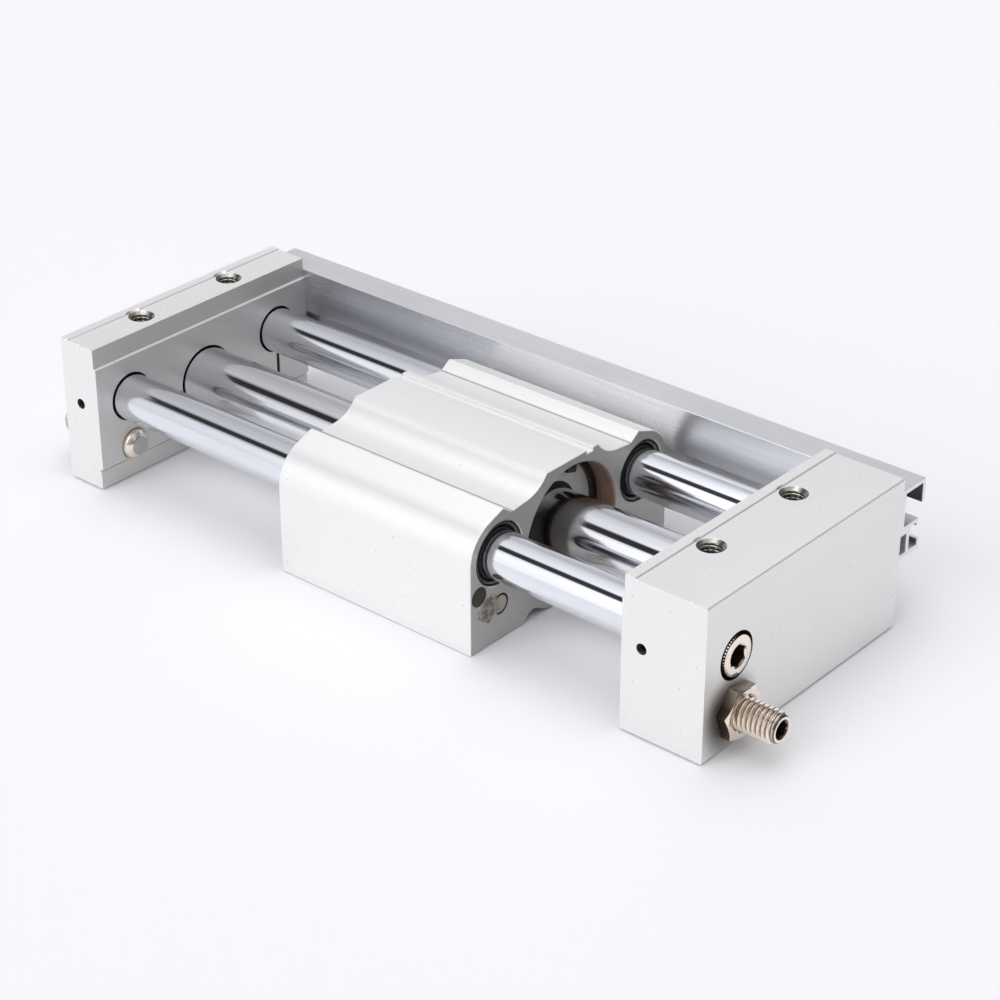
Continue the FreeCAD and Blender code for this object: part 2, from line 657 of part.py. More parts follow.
# Fasteners of the fixed frame
def make_frame_fasteners():
    cap = headed_screw("shaft_end_screw", "dim.cap_screw_dia", "dim.cap_screw_length",
                       "dim.cap_head_dia", "dim.cap_head_height")
    socket(cap, "cap_hex", "dim.cap_head_height", "dim.cap_socket", "dim.cap_socket_depth",
           forwards=False)
    place(cap, f"{NEAR_OUT} - dim.cap_sink_depth", FRONT_SHAFT, "dim.shaft_level", turn=30)
    clamp = headed_screw("clamp_screw", "dim.clamp_screw_dia", "dim.clamp_screw_length",
                         "dim.clamp_head_dia", "dim.clamp_head_height")
    socket(clamp, "clamp_hex", "dim.clamp_head_height", "dim.clamp_socket",
           "dim.clamp_socket_depth", forwards=False)
    across(clamp, CLAMP_X, f"{PLATE_REAR} - dim.clamp_sink_depth", "dim.clamp_level", 1)
    sets = []
    for name, x in (("near_set_screw", NEAR_SET_X), ("far_set_screw", FAR_SET_X)):
        body = turned(name, [
            ("0", "0"),
            ("dim.set_screw_length", "0"),
            ("dim.set_screw_length", "dim.set_screw_dia / 2 - dim.edge_break"),
            ("dim.set_screw_length - dim.edge_break", "dim.set_screw_dia / 2"),
            ("0", "dim.set_screw_dia / 2"),
        ], "0", "0", "0", keep=False)
        socket(body, f"{name}_hex", "0", "dim.set_screw_socket", "dim.set_screw_socket_depth",
               forwards=True)
        tip = f"{FRONT_SHAFT} - dim.shaft_dia / 2 - dim.seat_clearance"
        across(body, x, f"{tip} - dim.set_screw_length", "dim.shaft_level", 1)
        sets.append(body)
    group("shaft_set_screws", sets)
    heads = []
    for name, x in (("near_rail_screw", NEAR_MID), ("far_rail_screw", CLAMP_X)):
        body = headed_screw(name, "dim.rail_screw_dia", "dim.rail_screw_length",
                            "dim.rail_head_dia", "dim.rail_head_height", keep=False)
        across(body, x, f"{PLATE_REAR} + dim.rail_wall", "dim.rail_screw_level", 1)
        heads.append(body)
    group("rail_screws", heads)
    plug = turned("passage_plug", [
        ("0", "0"),
        (PLUG_LENGTH, "0"),
        (PLUG_LENGTH, "dim.plug_dia / 2 - dim.edge_break"),
        (f"{PLUG_LENGTH} - dim.edge_break", "dim.plug_dia / 2"),
        ("0", "dim.plug_dia / 2"),
    ], "0", "0", "0")
    start = f"{PLATE_REAR} - {PLUG_LENGTH} - dim.plug_depth"
    across(plug, PASSAGE_X, start, "dim.passage_level", 1)


# Switch rail: open channels to the rear for two rows of switches, a nut slot to the plates
def make_switch_rail():
    body = new_body("switch_rail")
    face = PLATE_REAR
    back = f"({face} + dim.rail_depth)"
    base = "(dim.rail_top - dim.rail_height)"
    web = f"({face} + dim.rail_wall)"
    shelf = f"({face} + dim.rail_shelf_depth)"
    shelf_under = "(dim.rail_shelf_level - dim.rail_wall)"
    slot = f"({face} + dim.rail_slot_depth)"
    foot = f"({face} + dim.rail_foot_depth)"
    profile = sketch_on(body, "YZ_Plane", "rail_section", FAR_OUT)
    outline(profile, [
        (face, "dim.rail_slot_top"),
        (slot, "dim.rail_slot_top"),
        (slot, f"{base} + dim.rail_wall"),
        (face, f"{base} + dim.rail_wall"),
        (face, base),
        (foot, base),
        (foot, f"{base} + dim.rail_foot_lip"),
        (f"{foot} - dim.rail_hook_wall", f"{base} + dim.rail_foot_lip"),
        (f"{foot} - dim.rail_hook_wall", f"{base} + dim.rail_wall"),
        (f"{slot} + dim.rail_wall", f"{base} + dim.rail_wall"),
        (f"{slot} + dim.rail_wall", shelf_under),
        (f"{shelf} - dim.rail_hook_wall", shelf_under),
        (f"{shelf} - dim.rail_hook_wall", "dim.rail_shelf_level - dim.rail_hook"),
        (shelf, "dim.rail_shelf_level - dim.rail_hook"),
        (shelf, "dim.rail_shelf_level"),
        (web, "dim.rail_shelf_level"),
        (web, "dim.rail_top - dim.rail_wall"),
        (f"{back} - dim.rail_wall", "dim.rail_top - dim.rail_wall"),
        (f"{back} - dim.rail_wall", "dim.rail_top - dim.rail_lip"),
        (back, "dim.rail_top - dim.rail_lip"),
        (back, f"dim.rail_top - dim.rail_wall / 2"),
        (f"{back} - dim.rail_wall / 2", "dim.rail_top", "dim.rail_wall / 2", 1),
        (face, "dim.rail_top"),
    ])
    pad(body, profile, "dim.far_plate_thick + dim.plate_gap + dim.near_plate_thick")
    bore_y(body, "rail_holes", face, "dim.rail_wall", [
        (NEAR_MID, "dim.rail_screw_level", "dim.rail_hole_dia / 2"),
        (CLAMP_X, "dim.rail_screw_level", "dim.rail_hole_dia / 2"),
    ], forwards=True)


# Stroke adjusting bolts, tip towards the carriage and hexagon socket outside
def make_adjusters():
    sides = (
        ("near", NEAR_OUT, "dim.near_plate_thick + dim.near_stop_reach", "dim.near_tail", 1),
        ("far", FAR_OUT, "dim.far_plate_thick + dim.far_stop_reach", "dim.far_tail", -1),
    )
    for name, face, inside, tail, way in sides:
        sign = "" if way > 0 else "-"
        tip = f"{sign}(-({inside}))"
        bevel = f"{sign}(dim.stop_bevel - ({inside}))"
        end = f"{sign}{tail}"
        end_bevel = f"{sign}({tail} - dim.edge_break)"
        bolt = turned(f"{name}_adjusting_bolt", [
            (tip, "0"),
            (end, "0"),
            (end, "dim.adjuster_dia / 2 - dim.edge_break"),
            (end_bevel, "dim.adjuster_dia / 2"),
            (bevel, "dim.adjuster_dia / 2"),
            (tip, "dim.stop_tip_dia / 2"),
        ], face, FRONT_SHAFT, "dim.adjuster_level")
        socket(bolt, f"{name}_adjuster_hex", end, "dim.adjuster_socket",
               "dim.adjuster_socket_depth", forwards=way < 0)
        make_lock_nut(name, face, way)


def make_lock_nut(name, face, way):
    """Thin hexagon nut against a plate's outer face, bevelled outside, free on its bolt."""
    body = new_body(f"{name}_lock_nut")
    start = "0" if way > 0 else "-dim.nut_thick"
    blank = sketch_on(body, "YZ_Plane", f"{name}_nut_hex", start)
    outline(blank, hexagon("dim.nut_flats"))
    circles(blank, [("0", "0", "dim.adjuster_dia / 2 + dim.run_clearance")])
    pad(body, blank, "dim.nut_thick")
    sign = "" if way > 0 else "-"
    outer = f"{sign}dim.nut_thick"
    corner = f"{hexagon('dim.nut_flats')[0][0]} + dim.nut_bevel"
    bevel = sketch_on(body, "XZ_Plane", f"{name}_nut_bevel")
    outline(bevel, [
        (outer, "dim.nut_flats / 2"),
        (outer, corner),
        (f"{sign}(dim.nut_thick - dim.nut_bevel)", corner),
    ])
    before = body.Shape.Volume
    cut = body.newObject("PartDesign::Groove", f"{name}_nut_bevel_cut")
    cut.Profile = bevel
    cut.ReferenceAxis = (bevel, ["H_Axis"])
    cut.Angle = 360
    place(body, face, FRONT_SHAFT, "dim.adjuster_level", turn=-11)
    doc.recompute()
    if not body.Shape.Volume < before:
        raise ValueError("nut bevel cuts nothing")


# Slide block: extruded carriage whose section wraps the tube and both shafts
def make_slide_block():
    body = new_body("slide_block")
    side = "dim.block_width / 2"
    ear = f"({side} - {REAR_SHAFT})"
    ear_land_level = f"dim.shaft_level + sqrt({ear} * {ear} - dim.ear_land * dim.ear_land)"
    arch_level = "dim.arch_rise / 2"
    shoulder = "dim.crown_half + dim.crown_slope"
    shoulder_level = "dim.block_top - dim.crown_drop"
    mark_in = "dim.mark_groove_place - dim.mark_groove_width / 2"
    mark_out = "dim.mark_groove_place + dim.mark_groove_width / 2"
    mark_level = "dim.block_top - dim.mark_groove_depth"
    section = sketch_on(body, "YZ_Plane", "block_section")
    outline(section, [
        ("dim.keel_half", "0"),
        ("dim.arch_half", "dim.arch_rise", "dim.keel_radius", 1),
        ("dim.arch_middle", arch_level, "dim.arch_radius", -1),
        ("dim.pad_inner", "0", "dim.arch_radius", 1),
        (side, "0"),
        (side, "dim.shaft_level"),
        (f"{REAR_SHAFT} + dim.ear_land", ear_land_level, ear, 1),
        ("dim.ear_lip", "dim.ear_lip_level"),
        ("dim.valley_outer", "dim.valley_outer_level"),
        ("dim.valley_inner", "dim.valley_inner_level"),
        (shoulder, shoulder_level, "dim.valley_radius", -1),
        ("dim.crown_half", "dim.block_top"),
        (mark_out, "dim.block_top"),
        (mark_out, mark_level),
        (mark_in, mark_level),
        (mark_in, "dim.block_top"),
        ("-dim.crown_half", "dim.block_top"),
        (f"-({shoulder})", shoulder_level),
        ("-dim.valley_inner", "dim.valley_inner_level", "dim.valley_radius", -1),
        ("-dim.valley_outer", "dim.valley_outer_level"),
        ("-dim.ear_lip", "dim.ear_lip_level"),
        (f"{FRONT_SHAFT} - dim.ear_land", ear_land_level),
        (f"-{side}", "dim.shaft_level", ear, 1),
        (f"-{side}", "0"),
        ("-dim.pad_inner", "0"),
        ("-dim.arch_middle", arch_level, "dim.arch_radius", 1),
        ("-dim.arch_half", "dim.arch_rise", "dim.arch_radius", -1),
        ("-dim.keel_half", "0", "dim.keel_radius", 1),
    ])
    pad(body, section, "dim.block_length", midplane=True)
    bore_x(body, "block_bores", f"-{BLOCK_END}", "dim.block_length", [
        ("0", "dim.tube_level", "dim.block_bore / 2"),
        (FRONT_SHAFT, "dim.shaft_level", "dim.bush_bore / 2"),
        (REAR_SHAFT, "dim.shaft_level", "dim.bush_bore / 2"),
    ], forwards=True)
    clip_seat = [("0", "dim.tube_level", "dim.block_bore / 2 + dim.clip_groove")]
    bore_x(body, "near_clip_groove", CLIP_IN, "dim.clip_thick", clip_seat, forwards=True)
    bore_x(body, "far_clip_groove", f"-{CLIP_IN}", "dim.clip_thick", clip_seat, forwards=False)
    magnet_seats = mirrored([("dim.switch_place", "dim.switch_level", "dim.switch_magnet_dia / 2")])
    bore_x(body, "near_magnet_seats", BLOCK_END, "dim.switch_magnet_depth", magnet_seats,
           forwards=False)
    bore_x(body, "far_magnet_seats", f"-{BLOCK_END}", "dim.switch_magnet_depth", magnet_seats,
           forwards=True)
    corners = [(f"{a}dim.load_spacing_x / 2", f"{b}dim.load_spacing_y / 2")
               for a in ("", "-") for b in ("", "-")]
    sunk_holes(body, "load_tap", "0", corners, "dim.load_drill", "dim.load_sink",
               "dim.load_depth", upwards=True)


# Bushings and wipers that ride on the guide shafts
def make_shaft_guides():
    seat = "dim.bush_bore / 2 - dim.seat_clearance"
    case_inner = f"{seat} - dim.wiper_case_wall"
    wiper_depth = "(dim.wiper_recess + dim.wiper_thick)"
    bushes, wipers, cases = [], [], []
    for shaft, y in (("front", FRONT_SHAFT), ("rear", REAR_SHAFT)):
        starts = (
            ("near", f"{BLOCK_END} - {wiper_depth}", f"{BLOCK_END} - {wiper_depth} - dim.bush_length"),
            ("far", f"dim.wiper_recess - {BLOCK_END}", f"{wiper_depth} - {BLOCK_END}"),
        )
        for end, wiper_start, bush_start in starts:
            name = f"{end}_{shaft}"
            bushes.append(ring(f"{name}_bushing", bush_start, "dim.bush_length", SHAFT_RUN, seat,
                               y, "dim.shaft_level"))
            wipers.append(ring(f"{name}_wiper", wiper_start, "dim.wiper_thick", SHAFT_RUN,
                               f"{case_inner} - dim.seat_clearance", y, "dim.shaft_level"))
            cases.append(ring(f"{name}_wiper_case", wiper_start, "dim.wiper_thick", case_inner, seat,
                              y, "dim.shaft_level"))
    group("shaft_bushings", bushes)
    group("shaft_wipers", wipers)
    group("wiper_cases", cases)


def make_circlip(label, start):
    """Internal retaining ring with two drilled lugs, its gap near the top of the bore."""
    body = new_body(label, keep=False)
    outer = "(dim.block_bore / 2 + dim.clip_groove - dim.seat_clearance)"
    inner = f"({outer} - dim.clip_width)"
    reach = f"({outer} - dim.clip_width / 2 - dim.clip_lug_reach)"
    ring_sketch = sketch_on(body, "YZ_Plane", f"{label}_ring")
    circles(ring_sketch, [("0", "0", outer), ("0", "0", inner)])
    pad(body, ring_sketch, "dim.clip_thick")
    edge = "(dim.clip_gap / 2)"
    for name, sign in (("a", ""), ("b", "-")):
        lug = sketch_on(body, "YZ_Plane", f"{label}_lug_{name}")
        outline(lug, [
            (f"{sign}{edge}", f"{outer} - dim.clip_width / 2"),
            (f"{sign}{edge}", reach),
            (f"{sign}({edge} + dim.clip_lug_width)", reach),
            (f"{sign}({edge} + dim.clip_lug_width)", f"{outer} - dim.clip_width / 2"),
        ])
        pad(body, lug, "dim.clip_thick")
    gap = sketch_on(body, "YZ_Plane", f"{label}_gap")
    outline(gap, [
        (f"-{edge}", reach),
        (edge, reach),
        (edge, f"{outer} + dim.clip_groove"),
        (f"-{edge}", f"{outer} + dim.clip_groove"),
    ])
    pocket(body, gap, "dim.clip_thick", forwards=True)
    holes = sketch_on(body, "YZ_Plane", f"{label}_lug_holes")
    level = f"{reach} + dim.clip_lug_hole_inset - dim.clip_lug_hole / 2"
    circles(holes, [
        (f"{edge} + dim.clip_lug_width / 2", level, "dim.clip_lug_hole / 2"),
        (f"-({edge} + dim.clip_lug_width / 2)", level, "dim.clip_lug_hole / 2"),
    ])
    pocket(body, holes, "dim.clip_thick", forwards=True)
    place(body, start, "0", "dim.tube_level", turn=-value("dim.clip_turn"))
    return body


# Ring magnets and yokes round the tube, held between spacers by circlips
def make_outer_stack():
    stack("outer", f"{TUBE_OUTER} + dim.outer_gap", OUTER_RADIUS)
    length = "dim.spacer_length"
    wear_floor = f"({TUBE_RUN} + dim.tube_wear_wall)"
    wiper_floor = f"({TUBE_RUN} + dim.tube_wiper_wall)"
    wear_start = "dim.tube_wear_inset"
    wear_end = "(dim.tube_wear_inset + dim.tube_wear_width)"
    wiper_start = f"({length} - dim.tube_wiper_width)"
    throat = f"({TUBE_OUTER} + dim.outer_gap)"
    spacers, wears, wipers = [], [], []
    for end, sign in (("near", ""), ("far", "-")):
        start = f"{sign}{STACK_END}"
        spacers.append(turned(f"{end}_spacer", [
            ("0", throat),
            (f"{sign}{wear_start}", throat),
            (f"{sign}{wear_start}", f"{wear_floor} + dim.seat_clearance"),
            (f"{sign}{wear_end}", f"{wear_floor} + dim.seat_clearance"),
            (f"{sign}{wear_end}", throat),
            (f"{sign}{wiper_start}", throat),
            (f"{sign}{wiper_start}", f"{wiper_floor} + dim.seat_clearance"),
            (f"{sign}{length}", f"{wiper_floor} + dim.seat_clearance"),
            (f"{sign}{length}", OUTER_RADIUS),
            ("0", OUTER_RADIUS),
        ], start, "0", "dim.tube_level", keep=False))
        inside = "dim.seat_clearance"
        wears.append(turned(f"{end}_tube_wear_ring", [
            (f"{sign}({wear_start} + {inside})", TUBE_RUN),
            (f"{sign}({wear_end} - {inside})", TUBE_RUN),
            (f"{sign}({wear_end} - {inside})", wear_floor),
            (f"{sign}({wear_start} + {inside})", wear_floor),
        ], start, "0", "dim.tube_level", keep=False))
        wipers.append(turned(f"{end}_tube_wiper", [
            (f"{sign}({wiper_start} + {inside})", TUBE_RUN),
            (f"{sign}{length}", TUBE_RUN),
            (f"{sign}{length}", wiper_floor),
            (f"{sign}({wiper_start} + {inside})", wiper_floor),
        ], start, "0", "dim.tube_level", keep=False))
    group("end_spacers", spacers)
    group("tube_wear_rings", wears)
    group("tube_wipers", wipers)
    group("block_circlips", [
        make_circlip("near_circlip", CLIP_IN),
        make_circlip("far_circlip", f"-{CLIP_OUT}"),
    ])


def stack(name, inner, outer):
    """Alternating yokes and magnets about the carriage's middle, yokes outermost."""
    count = int(value("dim.magnet_count"))
    pitch = f"({MAGNET_THICK} + dim.yoke_thick)"
    yokes = [ring(f"{name}_yoke_{i + 1}", f"{i} * {pitch} - {STACK_END}", "dim.yoke_thick",
                  inner, outer, "0", "dim.tube_level") for i in range(count + 1)]
    magnets = [ring(f"{name}_magnet_{i + 1}", f"{i} * {pitch} + dim.yoke_thick - {STACK_END}",
                    MAGNET_THICK, inner, outer, "0", "dim.tube_level") for i in range(count)]
    group(f"{name}_yokes", yokes)
    group(f"{name}_magnets", magnets)


# Switch magnets sunk in the block's ends, each closed by a plug
def make_switch_magnets():
    magnets, plugs = [], []
    radius = "dim.switch_magnet_dia / 2 - dim.seat_clearance"
    length = "(dim.switch_magnet_depth - dim.switch_plug_depth)"
    for end, sign in (("near", ""), ("far", "-")):
        for side, y in (("front", "-dim.switch_place"), ("rear", "dim.switch_place")):
            name = f"{end}_{side}"
            floor = f"{sign}({BLOCK_END} - dim.switch_magnet_depth)"
            plug_back = f"{sign}{length}"
            plug_face = f"{sign}(dim.switch_magnet_depth - dim.seat_clearance)"
            magnets.append(turned(f"{name}_switch_magnet", [
                ("0", "0"), (plug_back, "0"), (plug_back, radius), ("0", radius),
            ], floor, y, "dim.switch_level", keep=False))
            plugs.append(turned(f"{name}_magnet_plug", [
                (plug_back, "0"), (plug_face, "0"), (plug_face, radius), (plug_back, radius),
            ], floor, y, "dim.switch_level", keep=False))
    group("switch_magnets", magnets)
    group("magnet_plugs", plugs)


# Piston: rod, magnets and yokes, a sealed piston at each end
def make_piston():
    stack("inner", "dim.rod_dia / 2 + dim.seat_clearance", "dim.tube_bore / 2 - dim.inner_gap")
    rod_half = f"({PISTON_END} + dim.piston_nut_thick + dim.rod_spare)"
    turned("piston_rod", [
        (f"-{rod_half}", "0"),
        (rod_half, "0"),
        (rod_half, "dim.rod_dia / 2 - dim.edge_break"),
        (f"{rod_half} - dim.edge_break", "dim.rod_dia / 2"),
        (f"dim.edge_break - {rod_half}", "dim.rod_dia / 2"),
        (f"-{rod_half}", "dim.rod_dia / 2 - dim.edge_break"),
    ], "0", "0", "dim.tube_level")
    body_radius = "(dim.tube_bore / 2 - dim.piston_gap)"
    floor = f"({BORE_RUN} - dim.piston_ring_wall)"
    bore = "dim.rod_dia / 2 + dim.seat_clearance"
    pistons, seals, wears, nuts, bumpers = [], [], [], [], []
    for end, sign in (("near", ""), ("far", "-")):
        start = f"{sign}{STACK_END}"
        wear_a = "dim.piston_wear_inset"
        wear_b = "(dim.piston_wear_inset + dim.piston_wear_width)"
        seal_a = "dim.piston_seal_inset"
        seal_b = "(dim.piston_seal_inset + dim.piston_seal_width)"
        groove = f"{floor} - dim.seat_clearance"
        pistons.append(turned(f"{end}_piston", [
            ("0", bore),
            (f"{sign}dim.piston_length", bore),
            (f"{sign}dim.piston_length", body_radius),
            (f"{sign}{seal_b}", body_radius),
            (f"{sign}{seal_b}", groove),
            (f"{sign}{seal_a}", groove),
            (f"{sign}{seal_a}", body_radius),
            (f"{sign}{wear_b}", body_radius),
            (f"{sign}{wear_b}", groove),
            (f"{sign}{wear_a}", groove),
            (f"{sign}{wear_a}", body_radius),
            ("0", body_radius),
        ], start, "0", "dim.tube_level", keep=False))
        for kept, name, low, high in ((wears, "wear_ring", wear_a, wear_b),
                                      (seals, "seal", seal_a, seal_b)):
            inside = "dim.seat_clearance"
            kept.append(turned(f"{end}_piston_{name}", [
                (f"{sign}({low} + {inside})", floor),
                (f"{sign}({high} - {inside})", floor),
                (f"{sign}({high} - {inside})", BORE_RUN),
                (f"{sign}({low} + {inside})", BORE_RUN),
            ], start, "0", "dim.tube_level", keep=False))
        face = f"{sign}{PISTON_END}"
        nuts.append(turned(f"{end}_piston_nut", [
            ("0", bore),
            (f"{sign}dim.piston_nut_thick", bore),
            (f"{sign}dim.piston_nut_thick", "dim.piston_nut_dia / 2"),
            ("0", "dim.piston_nut_dia / 2"),
        ], face, "0", "dim.tube_level", keep=False))
        bumpers.append(turned(f"{end}_bumper", [
            ("0", "dim.bumper_inner / 2"),
            (f"{sign}dim.bumper_thick", "dim.bumper_inner / 2"),
            (f"{sign}dim.bumper_thick", "dim.bumper_outer / 2"),
            ("0", "dim.bumper_outer / 2"),
        ], face, "0", "dim.tube_level", keep=False))
    group("pistons", pistons)
    group("piston_seals", seals)
    group("piston_wear_rings", wears)
    group("piston_nuts", nuts)
    group("piston_bumpers", bumpers)


make_far_plate()
make_near_plate()
make_tube_and_shafts()
make_frame_fasteners()
make_switch_rail()
make_adjusters()
make_slide_block()
make_shaft_guides()
make_outer_stack()
make_switch_magnets()
make_piston()

doc.recompute()
for item in doc.Objects:
    if "Invalid" in item.State or "Error" in item.State:
        raise ValueError(f"{item.Label} failed to build: {item.State}")
for item in sub_parts:
    if item.Shape.isNull() or not item.Shape.isValid():
        raise ValueError(f"{item.Label} has no valid shape")
for item in sub_parts:
    item.Shape.exportStep(f"parts/{item.Label}.step")
    print(f"{item.Label}: {len(item.Shape.Solids)} solids, {item.Shape.Volume:.1f} mm3")
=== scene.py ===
"""Studio picture of a magnetically coupled rodless cylinder with a guided carriage.

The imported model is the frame. Its seen pieces are made again here as finer surfaces with broken
edges, real threads and sockets, and everything gets the finish of the real part. Sizes are in
millimetres in the classes below and become metres when a mesh is made.
"""

import json
import logging
import math
from dataclasses import dataclass, field
from enum import Enum
from functools import partial
from typing import Any, Iterator, Sequence

import bpy
import numpy as np
from mathutils import Matrix

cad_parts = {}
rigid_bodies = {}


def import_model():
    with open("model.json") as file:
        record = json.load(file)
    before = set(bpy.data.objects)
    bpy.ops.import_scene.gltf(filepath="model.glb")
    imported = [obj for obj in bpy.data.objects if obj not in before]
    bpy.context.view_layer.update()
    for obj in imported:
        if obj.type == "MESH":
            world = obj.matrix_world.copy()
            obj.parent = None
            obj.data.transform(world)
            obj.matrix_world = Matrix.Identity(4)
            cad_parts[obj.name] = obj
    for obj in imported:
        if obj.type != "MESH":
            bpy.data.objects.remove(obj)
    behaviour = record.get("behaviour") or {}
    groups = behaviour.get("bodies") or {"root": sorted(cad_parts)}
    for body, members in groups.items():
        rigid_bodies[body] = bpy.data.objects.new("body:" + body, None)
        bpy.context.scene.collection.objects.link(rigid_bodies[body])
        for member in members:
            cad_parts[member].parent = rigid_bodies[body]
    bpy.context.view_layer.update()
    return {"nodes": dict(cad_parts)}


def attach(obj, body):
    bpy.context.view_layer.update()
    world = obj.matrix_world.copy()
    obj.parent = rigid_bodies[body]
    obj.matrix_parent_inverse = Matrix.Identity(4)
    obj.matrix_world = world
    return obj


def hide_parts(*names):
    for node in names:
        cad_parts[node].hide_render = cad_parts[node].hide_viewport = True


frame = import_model()

MM = 0.001
TURN = 2.0 * math.pi
LOG = logging.getLogger("cylinder")

# Places that pieces share, mm: x along the unit, y towards the rail, z up from the load face
SHAFT_SIDE = 26.2
SHAFT_LEVEL = 23.0
TUBE_LEVEL = 18.6
STOP_LEVEL = 9.4
NEAR_FACE = 96.9
FAR_FACE = -105.3
RAIL_FACE = 37.5
RAIL_SCREWS = (-99.15, 85.65)
RAIL_SCREW_LEVEL = 31.2
CLAMP_LEVEL = 7.5
BLOCK_END = 30.25
PLUG_SIDE = 33.4
PLUG_LEVEL = 14.7

# Depth of a thread in a hole, as a part of its pitch
TAP_DEPTH = 0.541

Point = tuple[float, float, float]
Corner = tuple[float, ...]
Rows = Sequence[tuple[Any, Any]]
Steps = tuple[tuple[float, float], ...]


# Surfaces


class Axis(Enum):
    """Way a piece is made along: its unit vector, then two across it, right-handed."""

    X = ((1, 0, 0), (0, 1, 0), (0, 0, 1))
    Y = ((0, 1, 0), (0, 0, 1), (1, 0, 0))
    Z = ((0, 0, 1), (1, 0, 0), (0, 1, 0))
    BACK_X = ((-1, 0, 0), (0, 1, 0), (0, 0, -1))
    BACK_Y = ((0, -1, 0), (0, 0, 1), (-1, 0, 0))
    BACK_Z = ((0, 0, -1), (1, 0, 0), (0, -1, 0))

    def place(self, along: Any, first: Any, second: Any, centre: Sequence[float]) -> np.ndarray:
        """Points at a centre plus three distances along this axis and across it.

        Args:
            along: Distances along the axis.
            first: Distances along the first direction across it.
            second: Distances along the second direction across it.
            centre: Point the distances are measured from.

        Returns:
            Array of points whose last axis is x, y, z.
        """
        parts = np.stack(np.broadcast_arrays(along, first, second), axis=-1).astype(float)
        return parts @ np.array(self.value, float) + np.asarray(centre, float)


@dataclass
class Shell:
    """Vertices and faces of one closed surface.

    Attributes:
        points: Vertices, in blocks.
        faces: Corners of each face.
        crisp: Rings whose edges stay crisp.
        inner: Numbers of the faces that take a piece's second finish.
    """

    points: list[np.ndarray] = field(default_factory=list)
    faces: list[list[int]] = field(default_factory=list)
    crisp: list[np.ndarray] = field(default_factory=list)
    inner: list[int] = field(default_factory=list)

    def grid(self, points: np.ndarray, looped: bool = False) -> np.ndarray:
        """Add rows of points as quads; columns close on themselves, and rows do if looped.

        Args:
            points: Array of rows, columns and x, y, z.
            looped: Whether the last row joins the first.

        Returns:
            Vertex numbers as an array of rows and columns.
        """
        rows, columns = points.shape[:2]
        first = sum(len(known) for known in self.points)
        index = first + np.arange(rows * columns).reshape(rows, columns)
        low = index if looped else index[:-1]
        high = np.roll(index, -1, axis=0) if looped else index[1:]
        quads = np.stack((low, np.roll(low, -1, 1), np.roll(high, -1, 1), high), axis=-1)
        self.points.append(points.reshape(-1, 3))
        self.faces.extend(quads.reshape(-1, 4).tolist())
        return index

    def close(self, index: np.ndarray) -> None:
        """Cap the first and the last row of a grid with flat faces."""
        self.faces.append(index[0, ::-1].tolist())
        self.faces.append(index[-1].tolist())

    def mesh(self, name: str) -> bpy.types.Mesh:
        """Mesh in metres, smooth, with the crisp rings as sharp edges.

        Args:
            name: Name of the new mesh.

        Returns:
            The mesh.
        """
        mesh = bpy.data.meshes.new(name)
        points = np.concatenate(self.points) * MM
        mesh.from_pydata(points.tolist(), [], self.faces)
        mesh.shade_smooth()
        if self.inner:
            second = np.zeros(len(self.faces), np.int32)
            second[self.inner] = 1
            mesh.polygons.foreach_set("material_index", second)
        if self.crisp:
            ring = np.full(len(points), -1)
            for number, members in enumerate(self.crisp):
                ring[members] = number
            ends = np.empty(len(mesh.edges) * 2, np.int32)
            mesh.edges.foreach_get("vertices", ends)
            ends = ring[ends.reshape(-1, 2)]
            sharp = (ends[:, 0] == ends[:, 1]) & (ends[:, 0] >= 0)
            mesh.attributes.new("sharp_edge", "BOOLEAN", "EDGE").data.foreach_set("value", sharp)
        return mesh


def joined(shells: Sequence[Shell]) -> Shell:
    """One shell that holds several, each still closed on its own.

    Args:
        shells: Shells to put together.

    Returns:
        The joined shell.
    """
    whole = Shell()
    for shell in shells:
        first = sum(len(known) for known in whole.points)
        whole.points.extend(shell.points)
        whole.inner.extend(number + len(whole.faces) for number in shell.inner)
        whole.faces.extend([[corner + first for corner in face] for face in shell.faces])
        whole.crisp.extend([ring + first for ring in shell.crisp])
    return whole


def angles(columns: int) -> np.ndarray:
    """Angles of the columns of a turned surface, evenly round the axis."""
    return np.arange(columns) * TURN / columns


def turned(
    rows: Rows,
    axis: Axis,
    centre: Sequence[float],
    columns: int = 96,
    looped: bool = False,
    crisp: float = 24.0,
    inner: tuple[int, int | None] | None = None,
) -> Shell:
    """Surface turned about an axis.

    The point of row i and column j lies x(i, j) along the axis and r(i, j) from it, at the angle
    of the column. A row where the profile bends by more than the crisp angle keeps a crisp edge.

    Args:
        rows: Pairs of distance along and radius, each one number or one for each column.
        axis: Axis to turn about.
        centre: Point on the axis that distances are measured from.
        columns: Points round the axis.
        looped: Whether the profile is a closed ring, with no end caps.
        crisp: Bend in degrees past which a row is crisp.
        inner: First row whose faces take the second finish, and the row they end at, or None
            where they end with the cap.

    Returns:
        The closed shell.
    """
    round_ = angles(columns)
    along = np.stack([np.broadcast_to(x, columns) for x, _ in rows]).astype(float)
    radius = np.stack([np.broadcast_to(r, columns) for _, r in rows]).astype(float)
    shell = Shell()
    index = shell.grid(
        axis.place(along, radius * np.cos(round_), radius * np.sin(round_), centre), looped
    )
    rise = np.diff(radius, axis=0, append=radius[:1])
    way = np.arctan2(rise, np.diff(along, axis=0, append=along[:1]))
    bend = np.abs((way - np.roll(way, 1, axis=0) + math.pi) % TURN - math.pi)
    kept = np.median(bend, axis=1) > math.radians(crisp)
    if not looped:
        kept[[0, -1]] = True
        shell.close(index)
    shell.crisp.extend(index[kept])
    if inner:
        start, stop, _ = slice(*inner).indices(len(rows))
        shell.inner.extend(range(start * columns, min(stop, len(rows) - 1) * columns))
        if inner[1] is None:
            shell.inner.append(len(shell.faces) - 1)
    return shell


